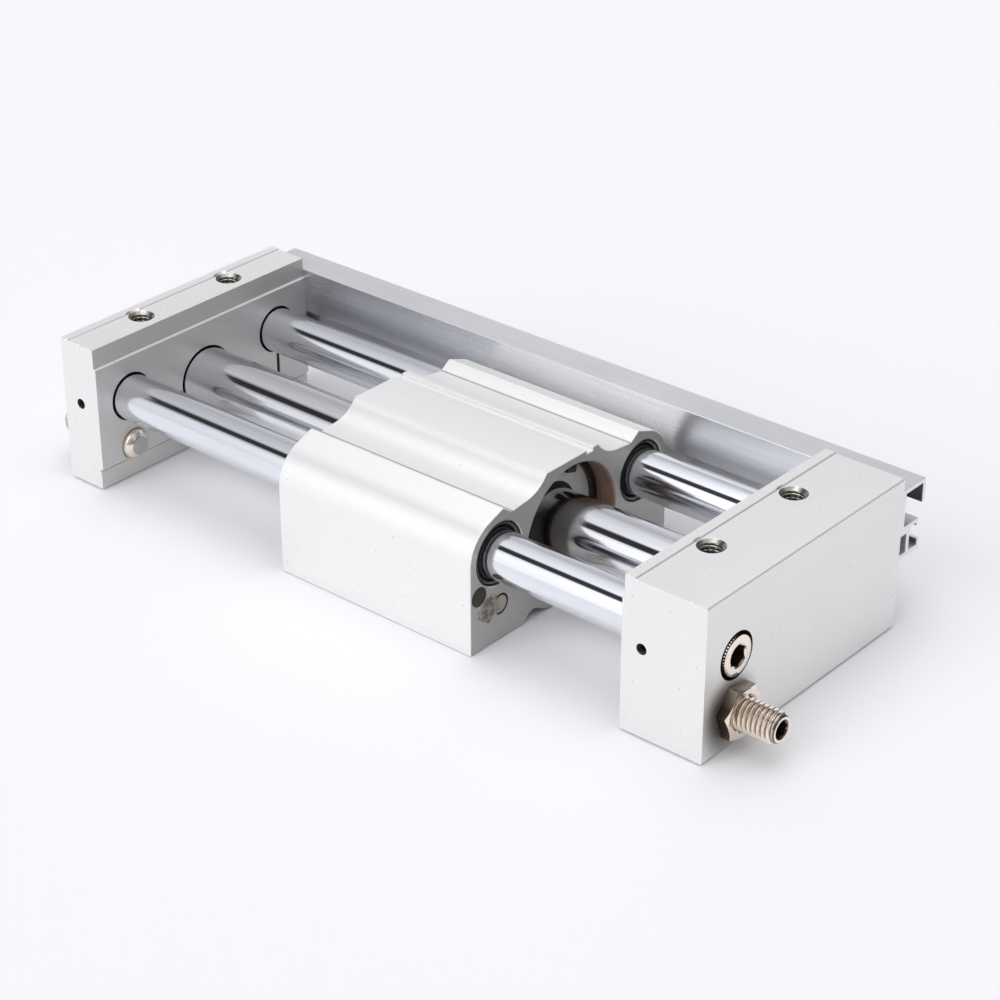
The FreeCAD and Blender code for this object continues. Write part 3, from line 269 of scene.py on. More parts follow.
def ball(centre: Point, radius: float) -> Shell:
    """Sphere: a row at an angle from its pole lies the radius times minus the cosine along X, and
    the radius times the sine from the axis. Small caps close it at the poles.

    Args:
        centre: Middle of the sphere.
        radius: Its radius.

    Returns:
        The closed shell.
    """
    cap = 0.06
    row = np.linspace(cap, math.pi - cap, 25)
    return turned(list(zip(-radius * np.cos(row), radius * np.sin(row))), Axis.X, centre, 40)


def hexagon(flats: float, columns: int, turn: float = 0.0) -> np.ndarray:
    """Radius of a hexagon at each column: half the flats over the cosine from the flat's middle.

    Args:
        flats: Distance across the flats.
        columns: Points round the axis.
        turn: Angle of a corner from the first direction, in degrees.

    Returns:
        One radius for each column.
    """
    sixth = TURN / 6
    return flats / 2 / np.cos((angles(columns) - math.radians(turn)) % sixth - sixth / 2)


def socket_rows(end: float, hexes: np.ndarray, depth: float, slope: float, cone: float) -> Rows:
    """Rows of a hexagon socket in a flat end: a round mouth, the sloping cuts between it and the
    flats, the walls, and the cone that the drill left.

    Args:
        end: Place of the flat end.
        hexes: Radius of the hexagon at each column.
        depth: Depth of the walls.
        slope: Depth of the cut at the middle of a flat.
        cone: Depth of the cone under the walls.

    Returns:
        Pairs of distance along and radius.
    """
    mouth = hexes.max() + 0.12
    return [
        (end, mouth),
        (end - slope * (mouth - hexes) / (mouth - hexes.min()) - 0.05, hexes),
        (end - depth, hexes),
        (end - depth - cone, hexes * 0.4),
    ]


def thread(x: np.ndarray, columns: int, major: float, pitch: float, depth: float) -> np.ndarray:
    """Radius of a right-hand 60 degree thread at rows along it and columns round it.

    The place within a pitch is x / pitch less the part of a turn; the radius is the major one for
    an eighth of the pitch, falls along a straight flank, and rests at the root for a quarter.

    Args:
        x: Distances along the thread, one for each row.
        columns: Points round the axis.
        major: Outer diameter.
        pitch: Distance between turns.
        depth: Height of the thread as a part of the pitch.

    Returns:
        Radii as an array of rows and columns.
    """
    crest, root = 0.125, 0.25
    flank = (1.0 - crest - root) / 2
    place = (x[:, None] / pitch - angles(columns) / TURN) % 1.0
    rise = np.clip((0.5 - root / 2 - np.abs(place - 0.5)) / flank, 0.0, 1.0)
    return major / 2 - depth * pitch * (1.0 - rise)


def arc(start: np.ndarray, end: np.ndarray, radius: float, side: int) -> np.ndarray:
    """Points from start to end on an arc, without the start.

    The centre lies on the perpendicular through the middle, left of the way for side 1 and right
    of it for side -1; points follow every three degrees.

    Args:
        start: First point.
        end: Last point.
        radius: Radius of the arc.
        side: Side of the way on which the centre lies.

    Returns:
        Array of points.
    """
    along = end - start
    across = np.array([-along[1], along[0]]) / np.hypot(*along)
    centre = (start + end) / 2 + side * across * math.sqrt(max(radius**2 - along @ along / 4, 0.0))
    first, last = (math.atan2(*(p - centre)[::-1]) for p in (start, end))
    sweep = side * ((side * (last - first)) % TURN)
    steps = max(2, round(abs(math.degrees(sweep)) / 3.0))
    turn = first + sweep * np.arange(1, steps + 1) / steps
    return centre + radius * np.stack((np.cos(turn), np.sin(turn)), axis=1)


def outline(corners: Sequence[Corner]) -> np.ndarray:
    """Closed outline through corners, counter-clockwise.

    Args:
        corners: Points (u, v), or (u, v, radius, side) where the way to the point is an arc.

    Returns:
        Array of points, without a second copy of the first.
    """
    runs, before = [], np.array(corners[-1][:2], float)
    for corner in corners:
        point = np.array(corner[:2], float)
        run = arc(before, point, corner[2], int(corner[3])) if len(corner) > 2 else point[None]
        runs.append(run)
        before = point
    points = np.concatenate(runs)
    after = np.roll(points, -1, axis=0)
    area = np.sum(points[:, 0] * after[:, 1] - after[:, 0] * points[:, 1])
    return points if area > 0 else points[::-1]


def mirrored(corners: Sequence[Corner]) -> list[Corner]:
    """Corners on the other side of the middle, in the order that goes on round the outline."""
    ways = [corner[2:] for corner in corners[1:]] + [()]
    return [(-corner[0], corner[1], *way) for corner, way in zip(corners, ways)][::-1]


def prism(profile: np.ndarray, axis: Axis, start: float, end: float) -> Shell:
    """Outline across an axis carried straight along it from start to end, with flat ends.

    Args:
        profile: Points of the outline along the axis's first and second directions.
        axis: Axis the outline is carried along.
        start: Distance of the first end along the axis.
        end: Distance of the last end.

    Returns:
        The closed shell.
    """
    stations = np.array([start, end])[:, None]
    shell = Shell()
    shell.close(shell.grid(axis.place(stations, profile[:, 0], profile[:, 1], (0, 0, 0))))
    return shell


@dataclass(frozen=True)
class Tap:
    """Thread cut in a hole: its major diameter, its pitch, and the depths it runs between."""

    major: float
    pitch: float
    start: float
    end: float


@dataclass(frozen=True)
class Bore:
    """Round hole as a turned cutter.

    Attributes:
        face: Point of the hole's axis on the face it starts from.
        into: Way into the material.
        steps: Pairs of the depth that a radius holds to, and that radius.
        mouth: Bevel at the face.
        far_mouth: Bevel where a through hole comes out, at the last depth.
        tap: Thread in the hole.
        columns: Points round the axis.
        flare: How fast a tapped hole's mouth goes on widening above the face.
        clear: How far the cutter stands out of the material.
    """

    face: Point
    into: Axis
    steps: Steps
    mouth: float = 0.2
    far_mouth: float = 0.0
    tap: Tap | None = None
    columns: int = 72
    flare: float = 1.0
    clear: float = 0.8

    def shell(self) -> Shell:
        """Cutter: a cone at the mouth, then each radius down to its depth, threaded if tapped.

        Returns:
            The closed shell.
        """
        clear = self.clear
        depth, radius = self.steps[0]
        rows = [(-clear, radius + self.mouth + clear), (self.mouth, radius)]
        if self.tap:
            rows = self._tapped(self.tap, radius + self.mouth)
        rows.append((depth, radius))
        for deeper, smaller in self.steps[1:]:
            rows += [(depth, smaller), (deeper, smaller)]
            depth, radius = deeper, smaller
        if self.far_mouth:
            rows[-1] = (depth - self.far_mouth, radius)
            rows.append((depth + clear, radius + self.far_mouth + clear))
        return turned(rows, self.into, self.face, self.columns)

    def _tapped(self, tap: Tap, mouth: float) -> list[tuple[Any, Any]]:
        """Rows of a tapped stretch: the larger of the thread's radius and the mouth's cone.

        Args:
            tap: The thread.
            mouth: Radius of the mouth at the face.

        Returns:
            Pairs of distance along and radius.
        """
        x = np.arange(tap.start, tap.end, tap.pitch / 12)
        cut = thread(x, self.columns, tap.major, tap.pitch, TAP_DEPTH)
        radius = np.maximum(cut, mouth - x[:, None])
        return [(-self.clear, mouth + self.flare * self.clear), (0.03, mouth), *zip(x, radius)]


# Finishes

Tree = bpy.types.NodeTree
Socket = bpy.types.NodeSocket
# A layer over a colour: how far it covers, its sRGB hex or a colour's socket, and its blend
Coat = tuple[Socket, Any, str]

# Stretches of the pattern's value over which the tone and the roughness change
TONE_STRETCH = (0.34, 0.62)
GLOSS_STRETCH = (0.3, 0.7)


def linear(colour: str) -> tuple[float, float, float, float]:
    """Linear colour with full alpha.

    Args:
        colour: sRGB hex value such as #C0C0C0.

    Returns:
        Red, green, blue and alpha.
    """
    parts = np.array([int(colour[i : i + 2], 16) for i in (1, 3, 5)]) / 255.0
    parts = np.where(parts <= 0.04045, parts / 12.92, ((parts + 0.055) / 1.055) ** 2.4)
    return (*parts.tolist(), 1.0)


def per_mm(size: float) -> float:
    """Texture scale, in repeats per metre, of a pattern whose grain has a size in millimetres."""
    return 1.0 / (size * MM)


def add(
    tree: Tree, kind: str, values: dict[Any, Any] | None = None, out: int | str | None = None
) -> Socket | None:
    """Add a node, set it up and link it.

    Args:
        tree: Tree that gets the node.
        kind: The node's type without its ShaderNode prefix, and its operation after a space.
        values: Settings by property name; constants, or sockets to link, by input name or number.
        out: Output to give back, by default the first one in use.

    Returns:
        The output's socket, if the node has any.
    """
    kind, _, operation = kind.partition(" ")
    node = tree.nodes.new(f"ShaderNode{kind}")
    if operation:
        node.operation = operation
    for key, value in (values or {}).items():
        if isinstance(value, Socket):
            tree.links.new(value, node.inputs[key])
        elif isinstance(key, str) and hasattr(node, key):
            setattr(node, key, value)
        else:
            node.inputs[key].default_value = value
    if out is not None:
        return node.outputs[out]
    return next((socket for socket in node.outputs if socket.enabled), None)


def off_axis(tree: Tree, place: Socket, y: float, z: float) -> Socket:
    """Distance in metres from a line along X.

    Args:
        tree: Tree of the material.
        place: Object coordinates.
        y: Place of the line across the unit, mm.
        z: Height of the line, mm.

    Returns:
        The distance.
    """
    flat = add(tree, "VectorMath MULTIPLY", {0: place, 1: (0.0, 1.0, 1.0)})
    return add(tree, "VectorMath DISTANCE", {0: flat, 1: (0.0, y * MM, z * MM)})


def endwise(tree: Tree) -> Socket:
    """How squarely the surface looks along X either way, 1 for a face square to it."""
    facing = add(tree, "SeparateXYZ", {0: add(tree, "TexCoord", out="Normal")})
    return add(tree, "Math ABSOLUTE", {0: facing})


class Grain(Enum):
    """How a pattern is stretched along X, Y and Z; a small number draws it out that way."""

    EVEN = (1.0, 1.0, 1.0)
    ALONG_X = (0.015, 1.0, 1.0)
    ACROSS_X = (1.0, 0.03, 0.03)


@dataclass(frozen=True)
class Finish:
    """A real surface as a material.

    Attributes:
        name: Common name of the surface, which names the material.
        colour: Main colour, sRGB hex.
        shade: Colour in the low places of the pattern, sRGB hex.
        metallic: 1 for bare or plated metal, less under a scattering oxide, 0 for rubber and resin.
        roughness: Middle of the roughness.
        uneven: How far the roughness moves either way with the pattern.
        grain: Way the pattern is drawn out.
        size: Size of one grain of the pattern, mm.
        cloud: Size of the slow change in tone over the surface, mm.
        relief: Height of the pattern's bump, mm.
        ground: How much grinding round X smears reflections along it, 0 for none.
        clouded: Share of the slow change in the tone; the rest is the fine pattern's.
    """

    name: str
    colour: str
    shade: str
    metallic: float = 1.0
    roughness: float = 0.4
    uneven: float = 0.05
    grain: Grain = Grain.EVEN
    size: float = 0.3
    cloud: float = 14.0
    relief: float = 0.004
    ground: float = 0.0
    clouded: float = 0.45

    def material(self) -> bpy.types.Material:
        """The finish's material, made the first time it is asked for.

        Returns:
            The material.
        """
        known = bpy.data.materials.get(self.name)
        if known:
            return known
        made = bpy.data.materials.new(self.name)
        made.use_nodes = True
        made.diffuse_color = linear(self.colour)
        made.node_tree.nodes.clear()
        self.nodes(made.node_tree)
        return made

    def nodes(self, tree: Tree) -> None:
        """Grain and slow clouds over the colour, coats on it, roughness and bump from the grain.

        Args:
            tree: Tree of the material, empty.
        """
        node = partial(add, tree)
        place = node("TexCoord", out="Object")
        drawn = node("Mapping", {"Vector": place, "Scale": self.grain.value})
        scale = per_mm(self.size)
        fine = node("TexNoise", {"Vector": drawn, "Scale": scale, "Detail": 2.0, "Roughness": 0.6})
        slow = node("TexNoise", {"Vector": place, "Scale": per_mm(self.cloud), "Detail": 3.0})
        rest = node("Math MULTIPLY", {0: fine, 1: 1.0 - self.clouded})
        both = node("Math MULTIPLY_ADD", {0: slow, 1: self.clouded, 2: rest})
        low, high = TONE_STRETCH
        share = node("MapRange", {0: both, 1: low, 2: high})
        tones = {6: linear(self.shade), 7: linear(self.colour)}
        colour = node("Mix", {"data_type": "RGBA", 0: share, **tones})
        for cover, coat, blend in self.coats(tree, place):
            over = linear(coat) if isinstance(coat, str) else coat
            way = {"data_type": "RGBA", "blend_type": blend}
            colour = node("Mix", {**way, 0: cover, 6: colour, 7: over})
        low, high = GLOSS_STRETCH
        dull, bright = self.roughness + self.uneven, max(self.roughness - self.uneven, 0.02)
        surface = {
            "Base Color": colour,
            "Metallic": self.metallic,
            "Roughness": node("MapRange", {0: both, 1: low, 2: high, 3: dull, 4: bright}),
            "Normal": node("Bump", {"Height": fine, "Strength": 1.0, "Distance": self.relief * MM}),
            "Anisotropic": self.ground,
            "Anisotropic Rotation": 0.25,
        }
        if self.ground:
            # The scratches run round X, square to it and to the surface; the quarter turn above
            # smears reflections across them
            normal = node("TexCoord", out="Normal")
            surface["Tangent"] = node("VectorMath CROSS_PRODUCT", {0: (1.0, 0.0, 0.0), 1: normal})
        node("OutputMaterial", {"Surface": node("BsdfPrincipled", surface)})

    def coats(self, tree: Tree, place: Socket) -> Iterator[Coat]:
        """Marks of use, from the lowest to the topmost; a plain finish has none.

        Args:
            tree: Tree of the material.
            place: Object coordinates.

        Returns:
            Coats over the colour.
        """
        return iter(())


@dataclass(frozen=True)
class BlastedAluminium(Finish):
    """Bead-blasted clear-anodised aluminium, with a few tiny specks and short scratches, and
    painted shade.

    Attributes:
        cell: Size of the cells that hold one mark each, mm.
        speck: Radius of a speck, mm.
        mark_colour: Colour of a mark, sRGB hex.
        mark_shapes: For specks and for scratches, the stretch of their cells along X and the part
            of a speck's radius that they reach.
        shaded_faces: Places along X of the inner faces that take painted shade, mm.
        shaded_reach: How far from those places those faces lie, mm.
        inner_painted_shade: Painted shade that those faces' colour is multiplied by, sRGB hex.
        nut: Middle of the painted shadow round a lock nut, y and z in mm.
        shadow_reach: Distances from there where the painted shadow is darkest and where it ends,
            mm.
        outside: Distance from the middle of the unit past which the outer faces lie, mm.
        oil: Colour that the painted shadow multiplies by, sRGB hex.
    """

    cell: float = 3.2
    speck: float = 0.2
    mark_colour: str = "#9A9896"
    mark_shapes: tuple[tuple[float, float], ...] = ((1.0, 1.0), (0.08, 0.35))
    shaded_faces: tuple[float, float] = (-93.3, 74.7)
    shaded_reach: float = 0.5
    inner_painted_shade: str = "#E8E7E6"
    nut: tuple[float, float] = (-28.4, 9.2)
    shadow_reach: tuple[float, float] = (4.5, 12.0)
    outside: float = 95.0
    oil: str = "#7E7A76"

    def coats(self, tree: Tree, place: Socket) -> Iterator[Coat]:
        """Painted shade, painted shadow and marks.

        Faces that look along X near the inner places, between the parts, get a painted shade. On
        the outer faces, a painted shadow darkens the metal round the lock nuts and fades with the
        distance from them. Marks lie where the surface passes close to the point of a cell: round
        specks, and scratches from cells drawn out along X to twelve times their width.

        Args:
            tree: Tree of the material.
            place: Object coordinates.

        Returns:
            Coats over the colour.
        """
        node = partial(add, tree)
        x = node("SeparateXYZ", {0: place})
        square = node("Math COMPARE", {0: endwise(tree), 1: 1.0, 2: 0.06})
        # Painted shade on the faces that look along X at the inner places, between the parts
        for middle in self.shaded_faces:
            near = node("Math COMPARE", {0: x, 1: middle * MM, 2: self.shaded_reach * MM})
            yield node("Math MULTIPLY", {0: near, 1: square}), self.inner_painted_shade, "MULTIPLY"
        # Painted shadow of the lock nuts on the outer faces, darkest near a nut and fading away
        # from it
        away = node("Math ABSOLUTE", {0: x})
        outer = node("Math GREATER_THAN", {0: away, 1: self.outside * MM})
        thick, none = self.shadow_reach
        distance = {0: off_axis(tree, place, *self.nut), 1: none * MM, 2: thick * MM}
        nut_shadow = node("MapRange", {"interpolation_type": "SMOOTHSTEP", **distance})
        face = node("Math MULTIPLY", {0: outer, 1: square})
        yield node("Math MULTIPLY", {0: face, 1: nut_shadow}), self.oil, "MULTIPLY"
        for stretch, part in self.mark_shapes:
            drawn = node("Mapping", {"Vector": place, "Scale": (stretch, 1.0, 1.0)})
            cells = node("TexVoronoi", {"Vector": drawn, "Scale": per_mm(self.cell)})
            reach = self.speck * part / self.cell
            mark = node("MapRange", {0: cells, 1: reach * 0.5, 2: reach, 3: 0.7, 4: 0.0})
            yield mark, self.mark_colour, "MIX"


@dataclass(frozen=True)
class GluedAluminium(BlastedAluminium):
    """Blasted aluminium of the slide block, with dried resin wiped over the lower front of one end.

    Attributes:
        end: Place along X past which the resin shows, mm.
        ring: Middle of the dark three-quarter ring, y and z in mm.
        ring_back: How far in front of that middle the ring ends, mm.
        glue: Colours of the spot inside the ring and of the ring, sRGB hex.
        smear: Middle of the grey smear, y and z in mm.
        smear_colours: Its dark and its pale colour, sRGB hex.
        smear_grain: Size of the blotches in it, mm.
        wander: How far the noise moves the smear's edge, mm.
        dull: Painted shade that the underside's colour is multiplied by, sRGB hex.
        corners: Creases under the ears where painted shade lies, y and z in mm.
        recess_painted_shade: Colour of the painted shade along those creases, sRGB hex.
    """

    # Painted shade on the block's end faces, which face the plates
    shaded_faces: tuple[float, float] = (-30.25, 30.25)
    shaded_reach: float = 0.15
    inner_painted_shade: str = "#C6C4C2"
    end: float = 30.1
    ring: tuple[float, float] = (-26.0, 9.6)
    ring_back: float = 1.6
    glue: tuple[str, str] = ("#B5A68E", "#20160F")
    smear: tuple[float, float] = (-30.0, 9.9)
    smear_colours: tuple[str, str] = ("#4C483E", "#989281")
    smear_grain: float = 1.6
    wander: float = 5.0
    dull: str = "#6E6C6A"
    corners: tuple[tuple[float, float], ...] = ((-21.8, 32.35), (21.8, 32.35))
    recess_painted_shade: str = "#77777A"

    def coats(self, tree: Tree, place: Socket) -> Iterator[Coat]:
        """Specks and scratches, painted shade on the underside and along the creases under the
        ears, a smear with a ragged edge, and a spot of resin in a ring that is open to the front.

        Each patch of resin covers where all of its ramps rise, from the first bound to the second.

        Args:
            tree: Tree of the material.
            place: Object coordinates.

        Returns:
            Coats over the colour.
        """
        yield from super().coats(tree, place)
        node = partial(add, tree)
        # Painted shade on the faces that look down
        normal = node("TexCoord", out="Normal")
        down = node("VectorMath DOT_PRODUCT", {0: normal, 1: (0.0, 0.0, -1.0)})
        yield node("MapRange", {0: down, 1: 0.2, 2: 0.5}), self.dull, "MULTIPLY"
        # Painted shade: a thin dark line along each crease under the ears
        for corner in self.corners:
            distance = off_axis(tree, place, *corner)
            cover = node("MapRange", {0: distance, 1: 0.45 * MM, 2: 0.2 * MM, 4: 0.6})
            yield cover, self.recess_painted_shade, "MIX"
        x, y, _ = node("SeparateXYZ", {0: place}).node.outputs
        scale = per_mm(self.smear_grain)
        ragged = node("TexNoise", {"Vector": place, "Scale": scale, "Detail": 3.0})
        middle = off_axis(tree, place, *self.smear)
        edge = node("Math MULTIPLY_ADD", {0: ragged, 1: self.wander * MM, 2: middle})
        share = node("MapRange", {0: ragged, 1: 0.4, 2: 0.6})
        tones = dict(zip((6, 7), map(linear, self.smear_colours)))
        blotch = node("Mix", {"data_type": "RGBA", 0: share, **tones})
        round_ = off_axis(tree, place, *self.ring)
        back = self.ring[0] - self.ring_back
        spot, rim = self.glue
        patches = (
            (blotch, 0.75, (edge, 6.4, 5.5)),
            (spot, 0.6, (round_, 2.4, 2.2)),
            (rim, 1.0, (round_, 2.05, 2.25), (round_, 2.85, 2.65), (y, back, back + 0.8)),
        )
        start = (self.end - 0.1) * MM
        for paint, most, *ramps in patches:
            cover = node("MapRange", {0: x, 1: start, 2: self.end * MM, 4: most})
            for value, clear, full in ramps:
                ramp = node("MapRange", {0: value, 1: clear * MM, 2: full * MM})
                cover = node("Math MULTIPLY", {0: cover, 1: ramp})
            yield cover, paint, "MIX"


@dataclass(frozen=True)
class PluggedResin(Finish):
    """Cast resin in the round pockets, darker where it is thin at the rim.

    Attributes:
        rim: Colour at the rim, sRGB hex.
        thins: Distances from the pocket's middle where the rim starts and where it is full, mm.
    """

    rim: str = "#120C08"
    thins: tuple[float, float] = (1.5, 2.4)

    def coats(self, tree: Tree, place: Socket) -> Iterator[Coat]:
        """The rim, over the outer millimetre of the plugs on both sides of the middle.

        Args:
            tree: Tree of the material.
            place: Object coordinates.

        Returns:
            Coats over the colour.
        """
        both = add(tree, "VectorMath ABSOLUTE", {0: place})
        distance = off_axis(tree, both, PLUG_SIDE, PLUG_LEVEL)
        start, full = self.thins
        cover = add(tree, "MapRange", {0: distance, 1: start * MM, 2: full * MM, 4: 0.85})
        yield cover, self.rim, "MIX"


@dataclass(frozen=True)
class SideToneAndPaintedShade(Finish):
    """A second colour across the unit: painted shade on the spacer and nut flats, a paler grey in
    the bore.

    Attributes:
        side_tone_and_shade: The second colour, sRGB hex.
        thin: Place across the unit where the second colour starts, mm.
        thick: Place across the unit where it is full, mm.
    """

    side_tone_and_shade: str = "#1C1714"
    thin: float = 5.0
    thick: float = -3.0

    def coats(self, tree: Tree, place: Socket) -> Iterator[Coat]:
        """The second colour, from where it starts across the unit to where it is full.

        Args:
            tree: Tree of the material.
            place: Object coordinates.

        Returns:
            Coats over the colour.
        """
        y = add(tree, "SeparateXYZ", {0: place}, 1)
        cover = add(tree, "MapRange", {0: y, 1: self.thin * MM, 2: self.thick * MM, 4: 0.92})
        yield cover, self.side_tone_and_shade, "MIX"


@dataclass(frozen=True)
class ThreadedNickel(Finish):
    """Plated thread of the adjusting bolts, with painted shade in its roots and a bare steel tip.

    Attributes:
        axis: Axis of the bolts, y and z in mm.
        root: Radius up to which the painted shade is full, mm.
        crest: Radius from which the plating has no painted shade, mm.
        recess_painted_shade: Colour of the painted shade in the roots, sRGB hex.
        bare: Stretch along X, between the plates, where the tips' ends are bare and clean, mm.
        steel: Colour of a bare end, sRGB hex.
    """

    axis: tuple[float, float] = (-SHAFT_SIDE, STOP_LEVEL)
    root: float = 3.25
    crest: float = 3.5
    recess_painted_shade: str = "#4A3C30"
    bare: tuple[float, float] = (-93.5, 75.0)
    steel: str = "#B4B2AE"

    def coats(self, tree: Tree, place: Socket) -> Iterator[Coat]:
        """Painted shade by the distance from the axis, but not on flat ends or tips, and the bare
        tips.

        Args:
            tree: Tree of the material.
            place: Object coordinates.

        Returns:
            Coats over the colour.
        """
        node = partial(add, tree)
        reach = off_axis(tree, place, *self.axis)
        depth = node("MapRange", {0: reach, 1: self.crest * MM, 2: self.root * MM, 4: 0.85})
        flat = node("Math GREATER_THAN", {0: endwise(tree), 1: 0.9})
        low, high = self.bare
        x = node("SeparateXYZ", {0: place})
        stretch = {1: (low + high) / 2 * MM, 2: (high - low) / 2 * MM}
        between = node("Math COMPARE", {0: x, **stretch})
        unshaded = node("Math MAXIMUM", {0: flat, 1: between})
        kept = node("Math SUBTRACT", {0: 1.0, 1: unshaded})
        # Painted shade in the thread's roots
        yield node("Math MULTIPLY", {0: depth, 1: kept}), self.recess_painted_shade, "MIX"
        yield node("Math MULTIPLY", {0: between, 1: flat}), self.steel, "MIX"


@dataclass(frozen=True)
class DrawnRail(Finish):
    """Drawn rail, with painted shade in its channels and on the far part of the face towards the
    unit.

    Attributes:
        web: Place across the unit past which the channels begin, mm.
        recess_painted_shade: Colour of the painted shade in the channels, sRGB hex.
        painted_shade_span: Places along X where the painted shade on the face is full and where it
            ends, mm.
        far_end_painted_shade: Painted shade that the face's colour is multiplied by where it is
            full, sRGB hex.
    """

    web: float = 40.3
    recess_painted_shade: str = "#6C6C6F"
    painted_shade_span: tuple[float, float] = (-85.0, 5.0)
    far_end_painted_shade: str = "#CFCFD3"

    def coats(self, tree: Tree, place: Socket) -> Iterator[Coat]:
        """Painted shade in the channels and on the far part of the face towards the unit.

        Args:
            tree: Tree of the material.
            place: Object coordinates.

        Returns:
            Coats over the colour.
        """
        node = partial(add, tree)
        normal = node("TexCoord", out="Normal")
        x, y, _ = node("SeparateXYZ", {0: place}).node.outputs
        past = node("Math GREATER_THAN", {0: y, 1: self.web * MM})
        full, none = self.painted_shade_span
        fade = {0: x, 1: full * MM, 2: none * MM, 3: 1.0, 4: 0.0}
        dull = node("MapRange", {"interpolation_type": "SMOOTHSTEP", **fade})
        # Painted shade: channel faces that look down or towards the unit, and the face towards the
        # unit, darkest at the far end
        sides = (
            ((0.0, -1.0, -1.0), past, self.recess_painted_shade, "MIX"),
            ((0.0, -1.0, 0.0), dull, self.far_end_painted_shade, "MULTIPLY"),
        )
        for side, where, coat, blend in sides:
            facing = node("VectorMath DOT_PRODUCT", {0: normal, 1: side})
            yield node("Math MULTIPLY", {"use_clamp": True, 0: facing, 1: where}), coat, blend


# The marks of blasting, drawing, grinding, honing and plating are really 0.02 to 0.1 mm wide. That
# is too fine to show in the render, so these patterns are drawn at 0.25 to 0.6 mm

# Clear-anodised aluminium, bead blasted: a pale satin with a fine sparkle
BLASTED = BlastedAluminium(
    "blasted_anodised_aluminium", "#F8F8F6", "#EAEAE8", 0.7, 0.47, 0.04, relief=0.014, clouded=0.08
)
# The same aluminium on the slide block, where resin from the plugs was wiped over one end
GLUED = GluedAluminium(
    "resin_marked_aluminium", "#F8F8F6", "#F2F2F0", 0.7, 0.47, 0.04, relief=0.01, clouded=0.08
)
# Clear-anodised aluminium as drawn through the die: faint lines along its length
DRAWN = DrawnRail(
    "drawn_anodised_aluminium", "#F0F0F1", "#DFE0E2", 0.8, 0.3, 0.05,
    Grain.ALONG_X, 0.5, 30.0, 0.0015,
)
# Bare aluminium left by a drill or tap: brighter and ringed
MACHINED = Finish(
    "machined_aluminium", "#E6E4E1", "#C8C5C0", 1.0, 0.36, 0.06, Grain.ACROSS_X, 0.25, 6.0
)
# Honed bore with an oily film: brown, going over to a paler grey towards the front
OILED = SideToneAndPaintedShade(
    "oiled_bore", "#B89A86", "#8A7060", 0.3, 0.5, 0.08, Grain.ACROSS_X, 0.4, 5.0, 0.003,
    side_tone_and_shade="#B8B1AA", thin=10.0, thick=2.0,
)
# Freshly cut threads with oil in their roots: bright crests and dark gaps
TAPPED = Finish(
    "tapped_aluminium", "#DAD6CF", "#8A867F", 1.0, 0.25, 0.06, Grain.EVEN, 0.3, 2.0, 0.003
)
# Painted shade in the gaps round the shafts and tube and in the cap screw's sink: almost black
GAP_PAINTED_SHADE = Finish("shaft_gap_painted_shade", "#2A2724", "#161412", 0.2, 0.45, 0.1, Grain.EVEN, 0.4, 3.0, 0.003)
# Hard chrome on a ground shaft: a mirror with a blue cast
CHROME = Finish(
    "hard_chrome", "#EBEDF2", "#E3E5EB", 1.0, 0.11, 0.02, Grain.ALONG_X, 0.4, 22.0, 0.0001, 0.8
)
# Polished stainless tube: a greyer mirror than chrome, drawn along its length
STAINLESS = Finish(
    "polished_stainless_steel", "#E6E7EA", "#DBDCE1", 1.0, 0.1, 0.02,
    Grain.ALONG_X, 0.4, 18.0, 0.0001, 0.7,
)
# Nickel plate over steel: warm and glossy, slightly uneven
NICKEL = Finish(
    "nickel_plated_steel", "#FBF0E4", "#E6D8C8", 1.0, 0.14, 0.04, Grain.EVEN, 0.3, 3.0, 0.002
)
# Flats of the lock nuts: nickel with a painted dark brown reflection on the front flats
NUT_FLATS_PAINTED_REFLECTION = SideToneAndPaintedShade(
    "nut_flats_painted_reflection", "#F2E6D8", "#D0BEA8", 1.0, 0.12, 0.04, Grain.EVEN, 0.4, 4.0, 0.002,
    side_tone_and_shade="#3E3024", thin=-27.0, thick=-31.5,
)
# Thread of the adjusting bolts: bright plated crests, painted shade in the roots, and a bare ground
# tip
THREADED = ThreadedNickel(
    "plated_thread", "#FFF5E9", "#EADCCC", 1.0, 0.2, 0.04, Grain.EVEN, 0.3, 3.0, 0.002
)
# Inside of a socket: painted shade, almost black brown
SOCKET_PAINTED_SHADE = Finish("socket_recess_painted_shade", "#4A3826", "#241A10", 0.6, 0.4, 0.08, Grain.EVEN, 0.4, 2.0)
# Turned steel: grey with rings from the tool
TURNED_STEEL = Finish(
    "turned_steel", "#C4C2BE", "#A3A19C", 1.0, 0.32, 0.06, Grain.ACROSS_X, 0.3, 6.0, 0.003
)
# Pressed steel cases of the wipers, oiled: a dull mid grey
PRESSED = Finish(
    "pressed_steel", "#A3A09A", "#75716C", 1.0, 0.35, 0.08, Grain.EVEN, 0.3, 3.0, 0.003
)
# Phosphated spring and screw steel: dark grey with a dull shine
BLACKENED = Finish(
    "phosphated_steel", "#55524D", "#33312E", 1.0, 0.4, 0.08, Grain.EVEN, 0.3, 3.0, 0.003
)
# Sintered magnet, thinly plated: dark grey and slightly grainy
MAGNET = Finish(
    "sintered_magnet", "#85868B", "#5C5D62", 1.0, 0.45, 0.08, Grain.EVEN, 0.25, 4.0, 0.005
)
# Sintered bronze bushing: brown-gold and porous
BRONZE = Finish(
    "sintered_bronze", "#B08A55", "#7E5F37", 1.0, 0.42, 0.08, Grain.EVEN, 0.25, 3.0, 0.006
)
# Turned brass plug: yellow with rings from the tool
BRASS = Finish(
    "turned_brass", "#D0B377", "#AC8E54", 1.0, 0.26, 0.06, Grain.ACROSS_X, 0.3, 4.0, 0.003
)
